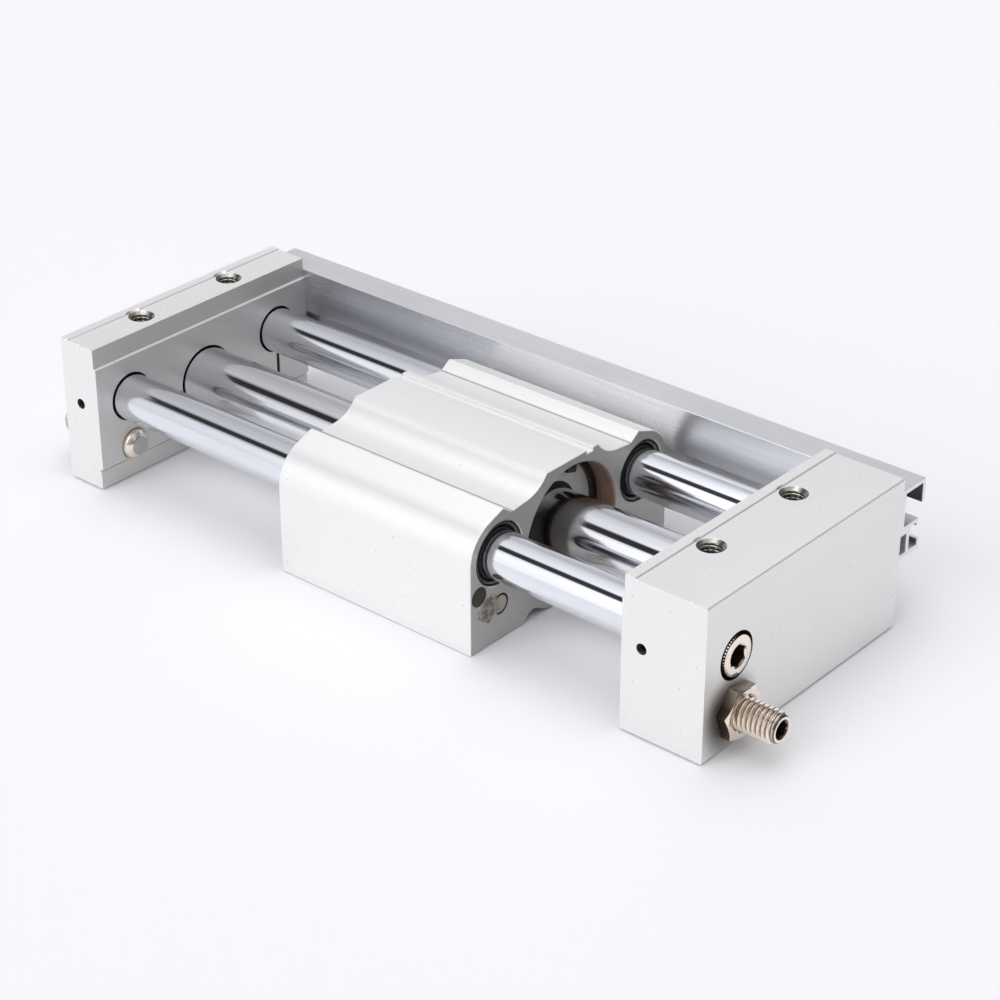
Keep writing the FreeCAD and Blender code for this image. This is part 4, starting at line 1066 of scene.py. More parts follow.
# Turned aluminium spacer: pale grey and dull, with painted shade towards the front
SPACER = SideToneAndPaintedShade(
    "turned_aluminium", "#E6E8E3", "#D2D4CE", 0.4, 0.5, 0.06, Grain.EVEN, 0.3, 5.0,
    thin=-3.0, thick=-9.0,
)
# Moulded nitrile rubber: black and matt
RUBBER = Finish("moulded_rubber", "#1E1E1F", "#121213", 0.0, 0.6, 0.1, Grain.EVEN, 0.3, 5.0, 0.006)
# Cast urethane bumper: near black, a little glossier than rubber
URETHANE = Finish("cast_urethane", "#3A3A3D", "#2B2B2E", 0.0, 0.45, 0.08, Grain.EVEN, 0.4, 5.0)
# Wear ring resin: ivory and waxy
WEAR_RESIN = Finish(
    "wear_ring_resin", "#CBC4B2", "#B7AE99", 0.0, 0.4, 0.06, Grain.EVEN, 0.3, 4.0, 0.003
)
# Cast resin plug: dark brown, streaked where it was wiped level
CAST_RESIN = PluggedResin(
    "cast_resin", "#38280F", "#150E06", 0.0, 0.45, 0.1, Grain.EVEN, 0.6, 1.6, 0.012
)

SLOT_FINISHES = {
    "anodised": BLASTED,
    "anodised_rail": DRAWN,
    "stainless": STAINLESS,
    "chromed": CHROME,
    "nickel": NICKEL,
    "bright_steel": TURNED_STEEL,
    "dark_steel": BLACKENED,
    "magnet": MAGNET,
    "bronze": BRONZE,
    "brass": BRASS,
    "spacer": SPACER,
    "rubber": RUBBER,
    "bumper": URETHANE,
    "wear_plastic": WEAR_RESIN,
    "plug_resin": CAST_RESIN,
}


# Pieces

Cut = tuple[Shell, Finish]


def show(
    name: str,
    form: Shell | bpy.types.Mesh,
    finish: Finish,
    body: str,
    slot: str,
    node: str,
    second: Finish = SOCKET_PAINTED_SHADE,
) -> None:
    """Put a piece into the scene that stands for a CAD node.

    Args:
        name: Name of the piece.
        form: Its shell, or its mesh in place.
        finish: Finish of its main material, where the mesh has none yet.
        body: CAD body it rides on.
        slot: Material slot of the record; not used.
        node: CAD node it stands for.
        second: Finish of its inner faces, by default the painted shade inside a socket.
    """
    mesh = form.mesh(name) if isinstance(form, Shell) else form
    piece = bpy.data.objects.new(name, mesh)
    bpy.context.scene.collection.objects.link(piece)
    if not mesh.materials:
        mesh.materials.append(finish.material())
        mesh.materials.append(second.material())
    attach(piece, body)
    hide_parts(node)
    LOG.info("%s: %d faces, on %s", name, len(mesh.polygons), body)


@dataclass
class Extrusion:
    """Piece cut from an extruded blank. Each kind has a blank and its cuts.

    Attributes:
        node: CAD node it stands for.
        body: CAD body it rides on.
        slot: Material slot of the record, handed to show.
        finish: Finish of the blank's own faces.
        bevel: Width of the bevel along the blank's edges.
        bevel_from: Angle in degrees past which an edge of the blank is broken.
        sharp_from: Angle in degrees past which an edge of the finished piece is sharp.
    """

    node: str = ""
    body: str = "frame"
    slot: str = "anodised"
    finish: Finish = BLASTED
    bevel: float = 0.13
    bevel_from: float = 28.0
    sharp_from: float = 12.0

    def blank(self) -> Shell:
        """Shell to start from."""
        raise NotImplementedError

    def cuts(self) -> list[Cut]:
        """Cutters, each with the finish of the faces it leaves."""
        raise NotImplementedError

    def build(self) -> None:
        """Break the blank's edges, cut its holes and show it, smooth across its round faces."""
        name = f"{self.node}_body"
        scene = bpy.context.scene.collection.objects
        work = bpy.data.objects.new(name, self.blank().mesh(f"{name}_blank"))
        work.data.materials.append(self.finish.material())
        scene.link(work)
        bevel = work.modifiers.new("edges", "BEVEL")
        bevel.width = self.bevel * MM
        bevel.segments = 2
        bevel.limit_method = "ANGLE"
        bevel.angle_limit = math.radians(self.bevel_from)
        tools = []
        for shell, finish in self.cuts():
            tool = bpy.data.objects.new(f"{name}_cutter", shell.mesh(f"{name}_cutter"))
            tool.data.materials.append(finish.material())
            scene.link(tool)
            tools.append(tool)
            cut = work.modifiers.new("cut", "BOOLEAN")
            cut.operation = "DIFFERENCE"
            cut.solver = "EXACT"
            cut.material_mode = "TRANSFER"
            cut.object = tool
        ready = bpy.context.evaluated_depsgraph_get()
        mesh = bpy.data.meshes.new_from_object(work.evaluated_get(ready), depsgraph=ready)
        mesh.name = name
        for item in (work, *tools):
            old = item.data
            bpy.data.objects.remove(item)
            bpy.data.meshes.remove(old)
        mesh.shade_smooth()
        mesh.set_sharp_from_angle(angle=math.radians(self.sharp_from))
        show(name, mesh, self.finish, self.body, self.slot, self.node)


def bored(finish: Finish, *bores: Bore) -> list[Cut]:
    """Cutters of several bores that leave one finish."""
    return [(bore.shell(), finish) for bore in bores]


@dataclass
class EndPlate(Extrusion):
    """What both end plates share: an extrusion across the unit, rebated inside, a strip on top.

    Attributes:
        inner: Place of the inner face, towards the block.
        outer: Place of the outer face.
        into: Way from the inner face into the plate.
        mount_x: Place of the tapped holes in the top.
        set_x: Place of the set screw's hole in the front.
        rail_x: Place of the rail screw's hole in the rear.
        chip_places: Places of the chips along the front top edge.
        half_width: Half the plate's width.
        base: Height of the underside.
        top: Height of the strip's top.
        main_top: Height of the top beside the strip.
        strip: Width of the strip.
        strip_slope: How far the strip's side lies out at its foot and in at its top.
        rebate_height: Height of a rebate in the inner face.
        rebate_depth: Depth of a rebate.
        ledge: Chamfer of the upper ledge, along the unit and down.
        edge: Chamfer of the outer edges.
        mount_side: Distance of the tapped holes in the top from the middle.
        chip: Radius of the sphere that bites a chip.
        bites: Depths of the chips; the first of every three is the deeper one.
    """

    inner: float = 0.0
    outer: float = 0.0
    into: Axis = Axis.X
    mount_x: float = 0.0
    set_x: float = 0.0
    rail_x: float = 0.0
    chip_places: tuple[float, ...] = ()
    half_width: float = RAIL_FACE
    base: float = 0.5
    top: float = 40.0
    main_top: float = 39.65
    strip: float = 2.9
    strip_slope: tuple[float, float] = (0.1, 0.2)
    rebate_height: float = 5.6
    rebate_depth: float = 0.6
    ledge: tuple[float, float] = (0.55, 0.3)
    edge: float = 0.3
    mount_side: float = 15.5
    chip: float = 0.9
    bites: tuple[float, float, float] = (0.3, 0.23, 0.23)

    def section(self) -> list[Corner]:
        """Corners of the section along the unit, as x and z."""
        raise NotImplementedError

    def blank(self) -> Shell:
        """Section along the unit carried across it."""
        profile = outline([(z, x) for x, z in self.section()])
        return prism(profile, Axis.Y, -self.half_width, self.half_width)

    def seat(
        self, y: float, z: float, steps: Steps, mouth: float = 0.05, far_mouth: float = 0.0
    ) -> Bore:
        """Bore into the inner face.

        Args:
            y: Place of its axis across the unit.
            z: Height of its axis.
            steps: Pairs of the depth that a radius holds to, and that radius.
            mouth: Bevel at the face.
            far_mouth: Bevel where a through hole comes out.

        Returns:
            The bore.
        """
        return Bore((self.inner, y, z), self.into, steps, mouth, far_mouth)

    def stop_hole(self) -> Bore:
        """Hole of the adjusting bolt, through the plate."""
        through = ((abs(self.outer - self.inner), 4.05),)
        return self.seat(-SHAFT_SIDE, STOP_LEVEL, through, 0.3, 0.3)

    def outside(self) -> list[Cut]:
        """Two M6 holes with countersunk mouths in the top, the M3 set screw hole in the front, the
        plain rail screw hole in the rear, and the chips, each the bite of a sphere.

        Returns:
            Cutters, each with the finish of the faces it leaves.
        """
        width, top = self.half_width, self.main_top
        deep, thread_m6 = ((11.0, 2.46),), Tap(6.0, 1.0, 0.05, 10.2)
        mounts = [
            Bore((self.mount_x, y, top), Axis.BACK_Z, deep, 0.89, tap=thread_m6, flare=2.2)
            for y in (-self.mount_side, self.mount_side)
        ]
        front = (self.set_x, -width, SHAFT_LEVEL)
        thread_m3 = Tap(2.8, 0.5, 0.2, 1.6)
        grub = Bore(front, Axis.Y, ((5.4, 1.2),), 0.16, tap=thread_m3, columns=40)
        rear = (self.rail_x, width, RAIL_SCREW_LEVEL)
        plain = Bore(rear, Axis.BACK_Y, ((8.1, 1.53),), 0.1, columns=32)
        chips = []
        for number, x in enumerate(self.chip_places):
            away = (self.chip - self.bites[number % 3]) / math.sqrt(2)
            chips.append((ball((x, -width - away, top + away), self.chip), BLASTED))
        # The set screw's hole is lined with the dark steel finish, a painted shade
        return bored(TAPPED, *mounts) + bored(BLACKENED, grub) + bored(MACHINED, plain) + chips


@dataclass
class NearPlate(EndPlate):
    """The thicker plate, with the sunk cap screw, the adjusting bolt and a bare end face.

    Attributes:
        plug: Place and height of the cross passage's plug in the rear face.
    """

    node: str = "near_plate"
    inner: float = 74.4
    outer: float = NEAR_FACE
    mount_x: float = 81.5
    set_x: float = 79.9
    rail_x: float = RAIL_SCREWS[1]
    chip_places: tuple[float, ...] = (92.6, 78.3)
    plug: tuple[float, float] = (87.9, 20.8)

    def section(self) -> list[Corner]:
        """Corners of the section along the unit, as x and z.

        Returns:
            The corners, in order round the section.
        """
        inner, outer, base, edge, top = self.inner, self.outer, self.base, self.edge, self.main_top
        step = inner + self.rebate_depth
        strip = step + self.strip
        high = self.top - self.rebate_height
        foot, head = self.strip_slope
        back, down = self.ledge
        return [
            (inner, base),
            (outer - edge, base),
            (outer, base + edge),
            (outer, top - edge),
            (outer - edge, top),
            (strip + foot, top),
            (strip - head, self.top),
            (step, self.top),
            (step, high),
            (inner + back, high),
            (inner, high - down),
        ]

    def cuts(self) -> list[Cut]:
        """Seats of tube and shafts, cap screw sink, adjuster hole, and the holes in the faces.

        Returns:
            Cutters, each with the finish of the faces it leaves.
        """
        side, level = SHAFT_SIDE, SHAFT_LEVEL
        front = self.seat(-side, level, ((1.2, 6.42), (12.0, 6.02)))
        rear = self.seat(
            side, level, ((1.2, 6.42), (3.2, 6.02), (4.8, 7.24), (12.0, 6.02), (14.5, 4.0))
        )
        tube = self.seat(
            0.0, TUBE_LEVEL, ((1.2, 8.65), (3.2, 8.27), (4.8, 9.49), (10.0, 8.27), (14.5, 7.5))
        )
        sink = Bore((self.outer, -side, level), Axis.BACK_X, ((5.5, 5.8), (11.0, 3.25)), 0.05)
        x, z = self.plug
        plug = Bore((x, self.half_width, z), Axis.BACK_Y, ((5.25, 2.02),), 0.1, columns=40)
        # The seats' and the sink's walls are lined with painted shade
        seats = bored(GAP_PAINTED_SHADE, front, rear, tube, sink)
        return seats + bored(MACHINED, self.stop_hole(), plug) + self.outside()


@dataclass
class FarPlate(EndPlate):
    """The thinner plate, with the ports, the clamp slit and the second adjusting bolt.

    Attributes:
        relief: Depth of the groove above the lower rebate.
        relief_height: Height of that groove.
        slit: Half the width of the clamp slit.
        slit_top: How far under the shaft's middle the slit's end lies, inside the shaft's bore.
    """

    node: str = "far_plate"
    inner: float = -93.0
    outer: float = FAR_FACE
    into: Axis = Axis.BACK_X
    mount_x: float = -99.3
    set_x: float = -99.4
    rail_x: float = RAIL_SCREWS[0]
    chip_places: tuple[float, ...] = (-103.4, -101.6, -99.9, -98.6, -96.3, -95.0)
    relief: float = 0.35
    relief_height: float = 0.85
    slit: float = 0.5
    slit_top: float = 3.0

    def section(self) -> list[Corner]:
        """Corners of the section along the unit, as x and z.

        Returns:
            The corners, in order round the section.
        """
        inner, outer, base, edge, top = self.inner, self.outer, self.base, self.edge, self.main_top
        step = inner - self.rebate_depth
        strip = outer + self.strip
        low, high = base + self.rebate_height, self.top - self.rebate_height
        foot, head = self.strip_slope
        back, down = self.ledge
        return [
            (outer + edge, base),
            (step, base),
            (step, low - self.relief_height),
            (step - self.relief, low - self.relief_height),
            (step - self.relief, low),
            (inner, low),
            (inner, high - down),
            (inner - back, high),
            (step, high),
            (step, top),
            (strip + foot, top),
            (strip - head, self.top),
            (outer + edge, self.top),
            (outer, self.top - edge),
            (outer, base + edge),
        ]

    def cuts(self) -> list[Cut]:
        """Seats of tube and shafts, ports, adjuster hole, clamp slit and the holes in the faces.

        Returns:
            Cutters, each with the finish of the faces it leaves.
        """
        side, level = SHAFT_SIDE, SHAFT_LEVEL
        thick = self.inner - self.outer
        front = self.seat(-side, level, ((1.2, 6.42), (8.0, 6.02)))
        rear = self.seat(side, level, ((1.2, 6.42), (thick, 6.02)), far_mouth=0.15)
        tube = self.seat(0.0, TUBE_LEVEL, ((1.2, 8.65), (3.2, 8.27), (4.8, 9.49), (7.5, 8.27)))
        port = Bore(
            (self.outer, 0.0, TUBE_LEVEL), Axis.X, ((5.2, 2.07),), 0.6, tap=Tap(5.0, 0.8, 0.05, 4.8)
        )
        head = (self.rail_x, self.half_width, CLAMP_LEVEL)
        clamp = Bore(head, Axis.BACK_Y, ((4.4, 3.8), (11.3, 2.2), (18.4, 2.02)))
        left, right = side - self.slit, side + self.slit
        bottom, top = -1.0, level - self.slit_top
        corners = ((left, bottom), (right, bottom), (right, top), (left, top))
        slit = prism(outline(corners), Axis.X, self.outer - 1.0, self.inner + 1.0)
        # The seats' walls are lined with painted shade
        cuts = bored(GAP_PAINTED_SHADE, front, rear, tube) + bored(MACHINED, port, self.stop_hole(), clamp)
        return cuts + [(slit, MACHINED)] + self.outside()


@dataclass
class SlideBlock(Extrusion):
    """Extruded carriage whose section wraps the tube and both shafts.

    Attributes:
        half_width: Half the block's width.
        top: Height of the crown.
        ear_radius: Radius of an ear's outer curve round the shaft.
        ear_land: How far past the shaft's middle that curve ends at the ear's flat top.
        mark: Places across the unit between which the mark groove in the crown lies.
        mark_depth: Depth of that groove.
        bore: Radius of the magnet bore.
        groove: Radius of the circlip grooves.
        groove_from: Depth from either end where a groove starts, and where it ends.
        taps: Places of the load taps either side of the middle, along and across.
    """

    node: str = "slide_block"
    body: str = "carriage"
    finish: Finish = GLUED
    bevel: float = 0.2
    half_width: float = 36.5
    top: float = 37.0
    ear_radius: float = 10.3
    ear_land: float = 4.2
    mark: tuple[float, float] = (5.2, 7.5)
    mark_depth: float = 0.9
    bore: float = 16.25
    groove: float = 17.05
    groove_from: tuple[float, float] = (5.5, 6.7)
    taps: tuple[float, float] = (15.0, 25.0)

    def blank(self) -> Shell:
        """Section with crown, valleys, ears and arched underside, carried along X.

        Returns:
            The closed shell.
        """
        side, level, top = self.half_width, SHAFT_LEVEL, self.top
        land = math.sqrt(self.ear_radius**2 - self.ear_land**2)
        rear = [
            (7.0, 0.0),
            (13.0, 2.5, 20.5, 1),
            (16.7, 1.25, 4.0, -1),
            (19.2, 0.0, 4.0, 1),
            (side, 0.0),
            (side, level),
            (SHAFT_SIDE + self.ear_land, level + land, self.ear_radius, 1),
            (24.9, 34.4),
            (21.9, 32.3),
            (17.4, 32.8),
            (10.3, 36.0, 10.0, -1),
            (9.5, top),
        ]
        left, right = self.mark
        low = top - self.mark_depth
        mark = [(right, top), (right, low), (left, low), (left, top)]
        return prism(outline(rear + mark + mirrored(rear)), Axis.X, -BLOCK_END, BLOCK_END)

    def cuts(self) -> list[Cut]:
        """Magnet bore with its circlip grooves, bushing bores, magnet pockets and load taps.

        Returns:
            Cutters, each with the finish of the faces it leaves.
        """
        end, length = BLOCK_END, 2 * BLOCK_END
        start, stop = self.groove_from
        radii = (self.bore, self.groove, self.bore, self.groove, self.bore)
        steps = tuple(zip((start, stop, length - stop, length - start, length), radii))
        stack = Bore((-end, 0.0, TUBE_LEVEL), Axis.X, steps, 0.35, far_mouth=0.35, columns=144)
        seats = [
            Bore((-end, y, SHAFT_LEVEL), Axis.X, ((length, 8.0),), 0.25, 0.25, columns=96)
            for y in (-SHAFT_SIDE, SHAFT_SIDE)
        ]
        pockets = [
            Bore((x, y, PLUG_LEVEL), way, ((9.0, 2.5),), 0.08, columns=48)
            for y in (-PLUG_SIDE, PLUG_SIDE)
            for x, way in ((-end, Axis.X), (end, Axis.BACK_X))
        ]
        along, across = self.taps
        thread_m5 = Tap(5.0, 0.8, 0.05, 8.4)
        taps = [
            Bore((x, y, 0.0), Axis.Z, ((9.0, 2.07),), 0.7, tap=thread_m5, columns=56)
            for x in (-along, along)
            for y in (-across, across)
        ]
        cuts = bored(OILED, stack) + bored(MACHINED, *seats)
        return cuts + bored(OILED, *pockets) + bored(MACHINED, *taps)


@dataclass
class SwitchRail(Extrusion):
    """Drawn rail behind the unit, with open channels for two rows of switches.

    Attributes:
        base: Height of the lowest face.
        top: Height of the top.
        depth: How far the upper channel reaches from the plates.
        wall: Thickness of the walls.
        shelf: How far the shelf between the channels reaches, and the height of its top.
        foot: How far the lowest wall reaches.
        nut_slot: Depth of the nut slot behind the plates, and the height of its top.
        hook: Thickness of the hooks at the ends of shelf and foot.
        hook_levels: Heights of the shelf's hook and the foot's hook.
        lip: Height of the lip that hangs from the top.
        edge: Radius of the upper rear edge.
    """

    node: str = "switch_rail"
    slot: str = "anodised_rail"
    finish: Finish = DRAWN
    bevel: float = 0.14
    base: float = 18.2
    top: float = 36.4
    depth: float = 9.3
    wall: float = 1.2
    shelf: tuple[float, float] = (7.2, 26.6)
    foot: float = 8.0
    nut_slot: tuple[float, float] = (2.6, 24.3)
    hook: float = 0.9
    hook_levels: tuple[float, float] = (24.8, 21.0)
    lip: float = 6.2
    edge: float = 0.6

    def blank(self) -> Shell:
        """Section with its lips, shelf and nut slot, carried along X.

        Returns:
            The closed shell.
        """
        face, base, top, wall, hook = RAIL_FACE, self.base, self.top, self.wall, self.hook
        back, web, foot = face + self.depth, face + wall, face + self.foot
        shelf, shelf_top = face + self.shelf[0], self.shelf[1]
        slot, slot_top = face + self.nut_slot[0], self.nut_slot[1]
        shelf_hook, foot_hook = self.hook_levels
        section = [
            (face, slot_top),
            (slot, slot_top),
            (slot, base + wall),
            (face, base + wall),
            (face, base),
            (foot, base),
            (foot, foot_hook),
            (foot - hook, foot_hook),
            (foot - hook, base + wall),
            (slot + wall, base + wall),
            (slot + wall, shelf_top - wall),
            (shelf - hook, shelf_top - wall),
            (shelf - hook, shelf_hook),
            (shelf, shelf_hook),
            (shelf, shelf_top),
            (web, shelf_top),
            (web, top - wall),
            (back - wall, top - wall),
            (back - wall, top - self.lip),
            (back, top - self.lip),
            (back, top - self.edge),
            (back - self.edge, top, self.edge, 1),
            (face, top),
        ]
        return prism(outline(section), Axis.X, FAR_FACE, NEAR_FACE)

    def cuts(self) -> list[Cut]:
        """Holes of the two screws through the web.

        Returns:
            Cutters, each with the finish of the faces it leaves.
        """
        through = ((self.wall, 1.7),)
        places = [(x, RAIL_FACE, RAIL_SCREW_LEVEL) for x in RAIL_SCREWS]
        bores = [Bore(place, Axis.Y, through, 0.1, 0.1, columns=40) for place in places]
        return bored(MACHINED, *bores)


@dataclass
class TubeAndShafts:
    """Thin cylinder tube between two guide shafts; the rear one is hollow and carries a port.

    Attributes:
        columns: Points round each run.
        tube_ends: Places where the tube starts and ends.
        tube_radii: Its inner and its outer radius.
        radius: Radius of the shafts.
        edge: Bevel at their ends.
        front_start: Place where the front shaft starts.
        shaft_end: Place where both shafts end.
        screw_hole: Radius of the hole in the front shaft's end, and the place where it ends.
        hollow: Radius of the rear shaft's passage.
        port: Thread of the port in the rear shaft's end.
        port_hole: Radius of the hole under that thread, and the place where it ends.
        port_mouth: Radius of the port's mouth.
    """

    columns: int = 192
    tube_ends: tuple[float, float] = (-100.5, 84.4)
    tube_radii: tuple[float, float] = (7.5, 8.25)
    radius: float = 6.0
    edge: float = 0.3
    front_start: float = -101.0
    shaft_end: float = 86.4
    screw_hole: tuple[float, float] = (3.02, 71.4)
    hollow: float = 2.5
    port: Tap = Tap(5.0, 0.8, 0.05, 7.8)
    port_hole: tuple[float, float] = (2.07, -97.3)
    port_mouth: float = 2.75

    def build(self) -> None:
        """Turn the three runs and show them."""
        tube, front, rear = self.tube(), self.front_shaft(), self.rear_shaft()
        show("tube_run", tube, STAINLESS, "frame", "stainless", "cylinder_tube")
        show("front_shaft_run", front, CHROME, "frame", "chromed", "front_guide_shaft")
        show("rear_shaft_run", rear, CHROME, "frame", "chromed", "rear_guide_shaft", TURNED_STEEL)

    def tube(self) -> Shell:
        """Plain tube: its rectangular wall turned about its axis.

        Returns:
            The closed shell.
        """
        (start, end), (inner, outer) = self.tube_ends, self.tube_radii
        rows = [(start, inner), (start, outer), (end, outer), (end, inner)]
        return turned(rows, Axis.X, (0.0, 0.0, TUBE_LEVEL), self.columns, looped=True)

    def front_shaft(self) -> Shell:
        """Bevelled shaft with the cap screw's hole in its near end.

        Returns:
            The closed shell.
        """
        start, end, radius, edge = self.front_start, self.shaft_end, self.radius, self.edge
        hole, bottom = self.screw_hole
        rows = [
            (start, radius - edge),
            (edge + start, radius),
            (end - edge, radius),
            (end, radius - edge),
            (end, hole),
            (bottom, hole),
        ]
        return turned(rows, Axis.X, (0.0, -SHAFT_SIDE, SHAFT_LEVEL), self.columns)

    def rear_shaft(self) -> Shell:
        """Hollow shaft with a port: the larger of the thread's radius and the mouth's cone.

        Returns:
            The closed shell.
        """
        tap, edge, radius = self.port, self.edge, self.radius
        x = np.arange(tap.start, tap.end, 0.07)
        cut = thread(x, self.columns, tap.major, tap.pitch, TAP_DEPTH)
        tapped = list(zip(x + FAR_FACE, np.maximum(cut, self.port_mouth - x[:, None])))[::-1]
        hole, bottom = self.port_hole
        rows = [
            (bottom, hole),
            *tapped,
            (FAR_FACE, self.port_mouth),
            (FAR_FACE, radius - edge),
            (edge + FAR_FACE, radius),
            (self.shaft_end, radius),
            (self.shaft_end, self.hollow),
            (bottom, self.hollow),
        ]
        centre = (0.0, SHAFT_SIDE, SHAFT_LEVEL)
        inner = (0, len(tapped) + 3)
        return turned(rows, Axis.X, centre, self.columns, looped=True, inner=inner)


@dataclass
class Adjuster:
    """Stroke adjusting bolt with its lock nut, along X or against it.

    Attributes:
        end: near or far, as the bodies are named.
        face: Outer face of the plate.
        inside: Length from that face to the tip.
        tail: Length from that face to the outer end.
        out: Way from the plate outwards.
        major: Outer diameter of the thread.
        pitch: Distance between its turns.
        plain: Length of the smooth stretch at the tip.
        bevel: Bevel of the outer end.
        socket: Flats of the socket in the outer end.
        socket_depth: Depth of its walls.
        nut_flats: Distance across the nut's flats.
        nut_thick: Thickness of the nut.
        nut_turn: Angle in degrees that the nut's corner stands from the first direction.
    """

    end: str
    face: float
    inside: float
    tail: float
    out: Axis
    major: float = 8.0
    pitch: float = 1.25
    plain: float = 3.2
    bevel: float = 1.0
    socket: float = 4.0
    socket_depth: float = 5.0
    nut_flats: float = 12.0
    nut_thick: float = 3.0
    nut_turn: float = 11.0

    @property
    def centre(self) -> Point:
        """Point of the bolt's axis on the plate's outer face."""
        return (self.face, -SHAFT_SIDE, STOP_LEVEL)

    def bolt(self) -> Shell:
        """Smooth bevelled tip, thread from there to the bevelled end, hexagon socket in the end.

        Along the thread, each row's radius is the smaller of the thread's and the end bevel's cone.

        Returns:
            The closed shell.
        """
        columns, radius, tip, tail = 96, self.major / 2, -self.inside, self.tail
        x = np.arange(self.plain - self.inside, tail - 0.1, self.pitch / 14)
        cone = tail - x[:, None] + radius - self.bevel
        cut = thread(x, columns, self.major - 0.06, self.pitch, 0.6)
        rows = [
            (tip, 2.4),
            (0.06 + tip, 2.6),
            (1.0 + tip, radius - 0.35),
            (1.5 + tip, radius - 0.05),
            (self.plain - 0.2 + tip, radius - 0.05),
            *zip(x, np.minimum(cut, cone)),
            (tail, radius - self.bevel),
            *socket_rows(tail, hexagon(self.socket, columns), self.socket_depth, 0.35, 0.6),
        ]
        return turned(rows, self.out, self.centre, columns, crisp=40.0, inner=(-3, None))

    def nut(self) -> Shell:
        """Thin hexagon nut: flats cut by a cone outside, so that each flat ends in a curve.

        Returns:
            The closed shell.
        """
        columns, thick = 192, self.nut_thick
        turn = -self.nut_turn if self.out is Axis.X else self.nut_turn
        flats = hexagon(self.nut_flats, columns, turn)
        land = self.nut_flats / 2 - 0.15
        bore = self.major / 2 + 0.06
        rows = [
            (0.02, bore + 0.25),
            (0.02, flats - 0.1),
            (0.12, flats),
            (thick - (flats - land) * 0.58, flats),
            (thick, land),
            (thick, bore + 0.55),
            (thick - 0.5, bore),
            (0.27, bore),
        ]
        return turned(rows, self.out, self.centre, columns, looped=True, inner=(2, 3))

    def build(self) -> None:
        """Show the bolt and its nut."""
        end = self.end
        bolt, nut = self.bolt(), self.nut()
        show(f"{end}_bolt", bolt, THREADED, f"{end}_adjuster", "nickel", f"{end}_adjusting_bolt")
        name, node = f"{end}_nut_hexagon", f"{end}_lock_nut"
        show(name, nut, NICKEL, f"{end}_nut", "nickel", node, NUT_FLATS_PAINTED_REFLECTION)


@dataclass
class SocketScrew:
    """Socket head screw: knurled head outwards, shank inwards.

    Attributes:
        seat: Point under the middle of the head.
        out: Way from the shank to the head.
        dia: Diameter of the shank.
        length: Length of the shank.
        head_dia: Diameter of the head.
        head_height: Height of the head.
        socket: Flats of the socket.
        socket_depth: Depth of its walls.
        teeth: Teeth of the knurl, 0 for a smooth head.
        turn: Angle in degrees that a corner of the socket stands from the first direction.
        knurl: Depth of the knurl as a part of the head's radius.
    """

    seat: Point
    out: Axis
    dia: float
    length: float
    head_dia: float
    head_height: float
    socket: float
    socket_depth: float
    teeth: int = 0
    turn: float = 0.0
    knurl: float = 0.028

    def shell(self) -> Shell:
        """Shank, knurled head with a rounded top edge, and the hexagon socket.

        The knurl takes a triangle wave of the angle off the head's radius.

        Returns:
            The closed shell.
        """
        columns = max(self.teeth * 6, 96)
        wave = np.abs((angles(columns) * self.teeth / TURN) % 1.0 - 0.5) * 2.0
        rim, shank = self.head_dia / 2, self.dia / 2
        knurl = rim - self.knurl * rim * wave if self.teeth else rim
        hexes = hexagon(self.socket, columns, self.turn)
        high, round_ = self.head_height, 0.05 * self.head_dia
        rows = [
            (-self.length, shank - 0.4),
            (0.4 - self.length, shank),
            (0.0, shank),
            (0.0, rim - 0.3),
            (0.25, knurl),
            (high - round_ - 0.15, knurl),
            (high - round_, rim - 0.03 * rim),
            (high - round_ * 0.35, rim - round_ * 0.3),
            (high, rim - round_),
            *socket_rows(high, hexes, self.socket_depth, 0.3, 0.3),
        ]
        return turned(rows, self.out, self.seat, columns, crisp=35.0, inner=(-3, None))


@dataclass
class Screws:
    """Cap screw in the front shaft, clamp screw under the rear one, and the rail's two screws.

    Attributes:
        cap_seat: Place of the seat under the cap screw's head.
        clamp_seat: Place across the unit of the seat under the clamp screw's head.
        rail_seat: Place across the unit of the seats on the rail's web.
    """

    cap_seat: float = 91.4
    clamp_seat: float = 33.1
    rail_seat: float = 38.7

    def build(self) -> None:
        """Turn the screws and show them."""
        seat = (self.cap_seat, -SHAFT_SIDE, SHAFT_LEVEL)
        cap = SocketScrew(seat, Axis.X, 6.0, 16.0, 10.0, 6.0, 5.0, 3.2, 42, 30.0)
        show("cap_screw", cap.shell(), NICKEL, "frame", "nickel", "shaft_end_screw")
        seat = (RAIL_SCREWS[0], self.clamp_seat, CLAMP_LEVEL)
        clamp = SocketScrew(seat, Axis.Y, 4.0, 14.0, 7.0, 4.0, 3.0, 2.0, 34).shell()
        show("clamp_socket_screw", clamp, BLACKENED, "frame", "dark_steel", "clamp_screw")
        seats = [(x, self.rail_seat, RAIL_SCREW_LEVEL) for x in RAIL_SCREWS]
        rail = [SocketScrew(at, Axis.Y, 3.0, 8.0, 5.5, 2.0, 2.0, 1.2).shell() for at in seats]
        show("rail_socket_screws", joined(rail), NICKEL, "frame", "nickel", "rail_screws")


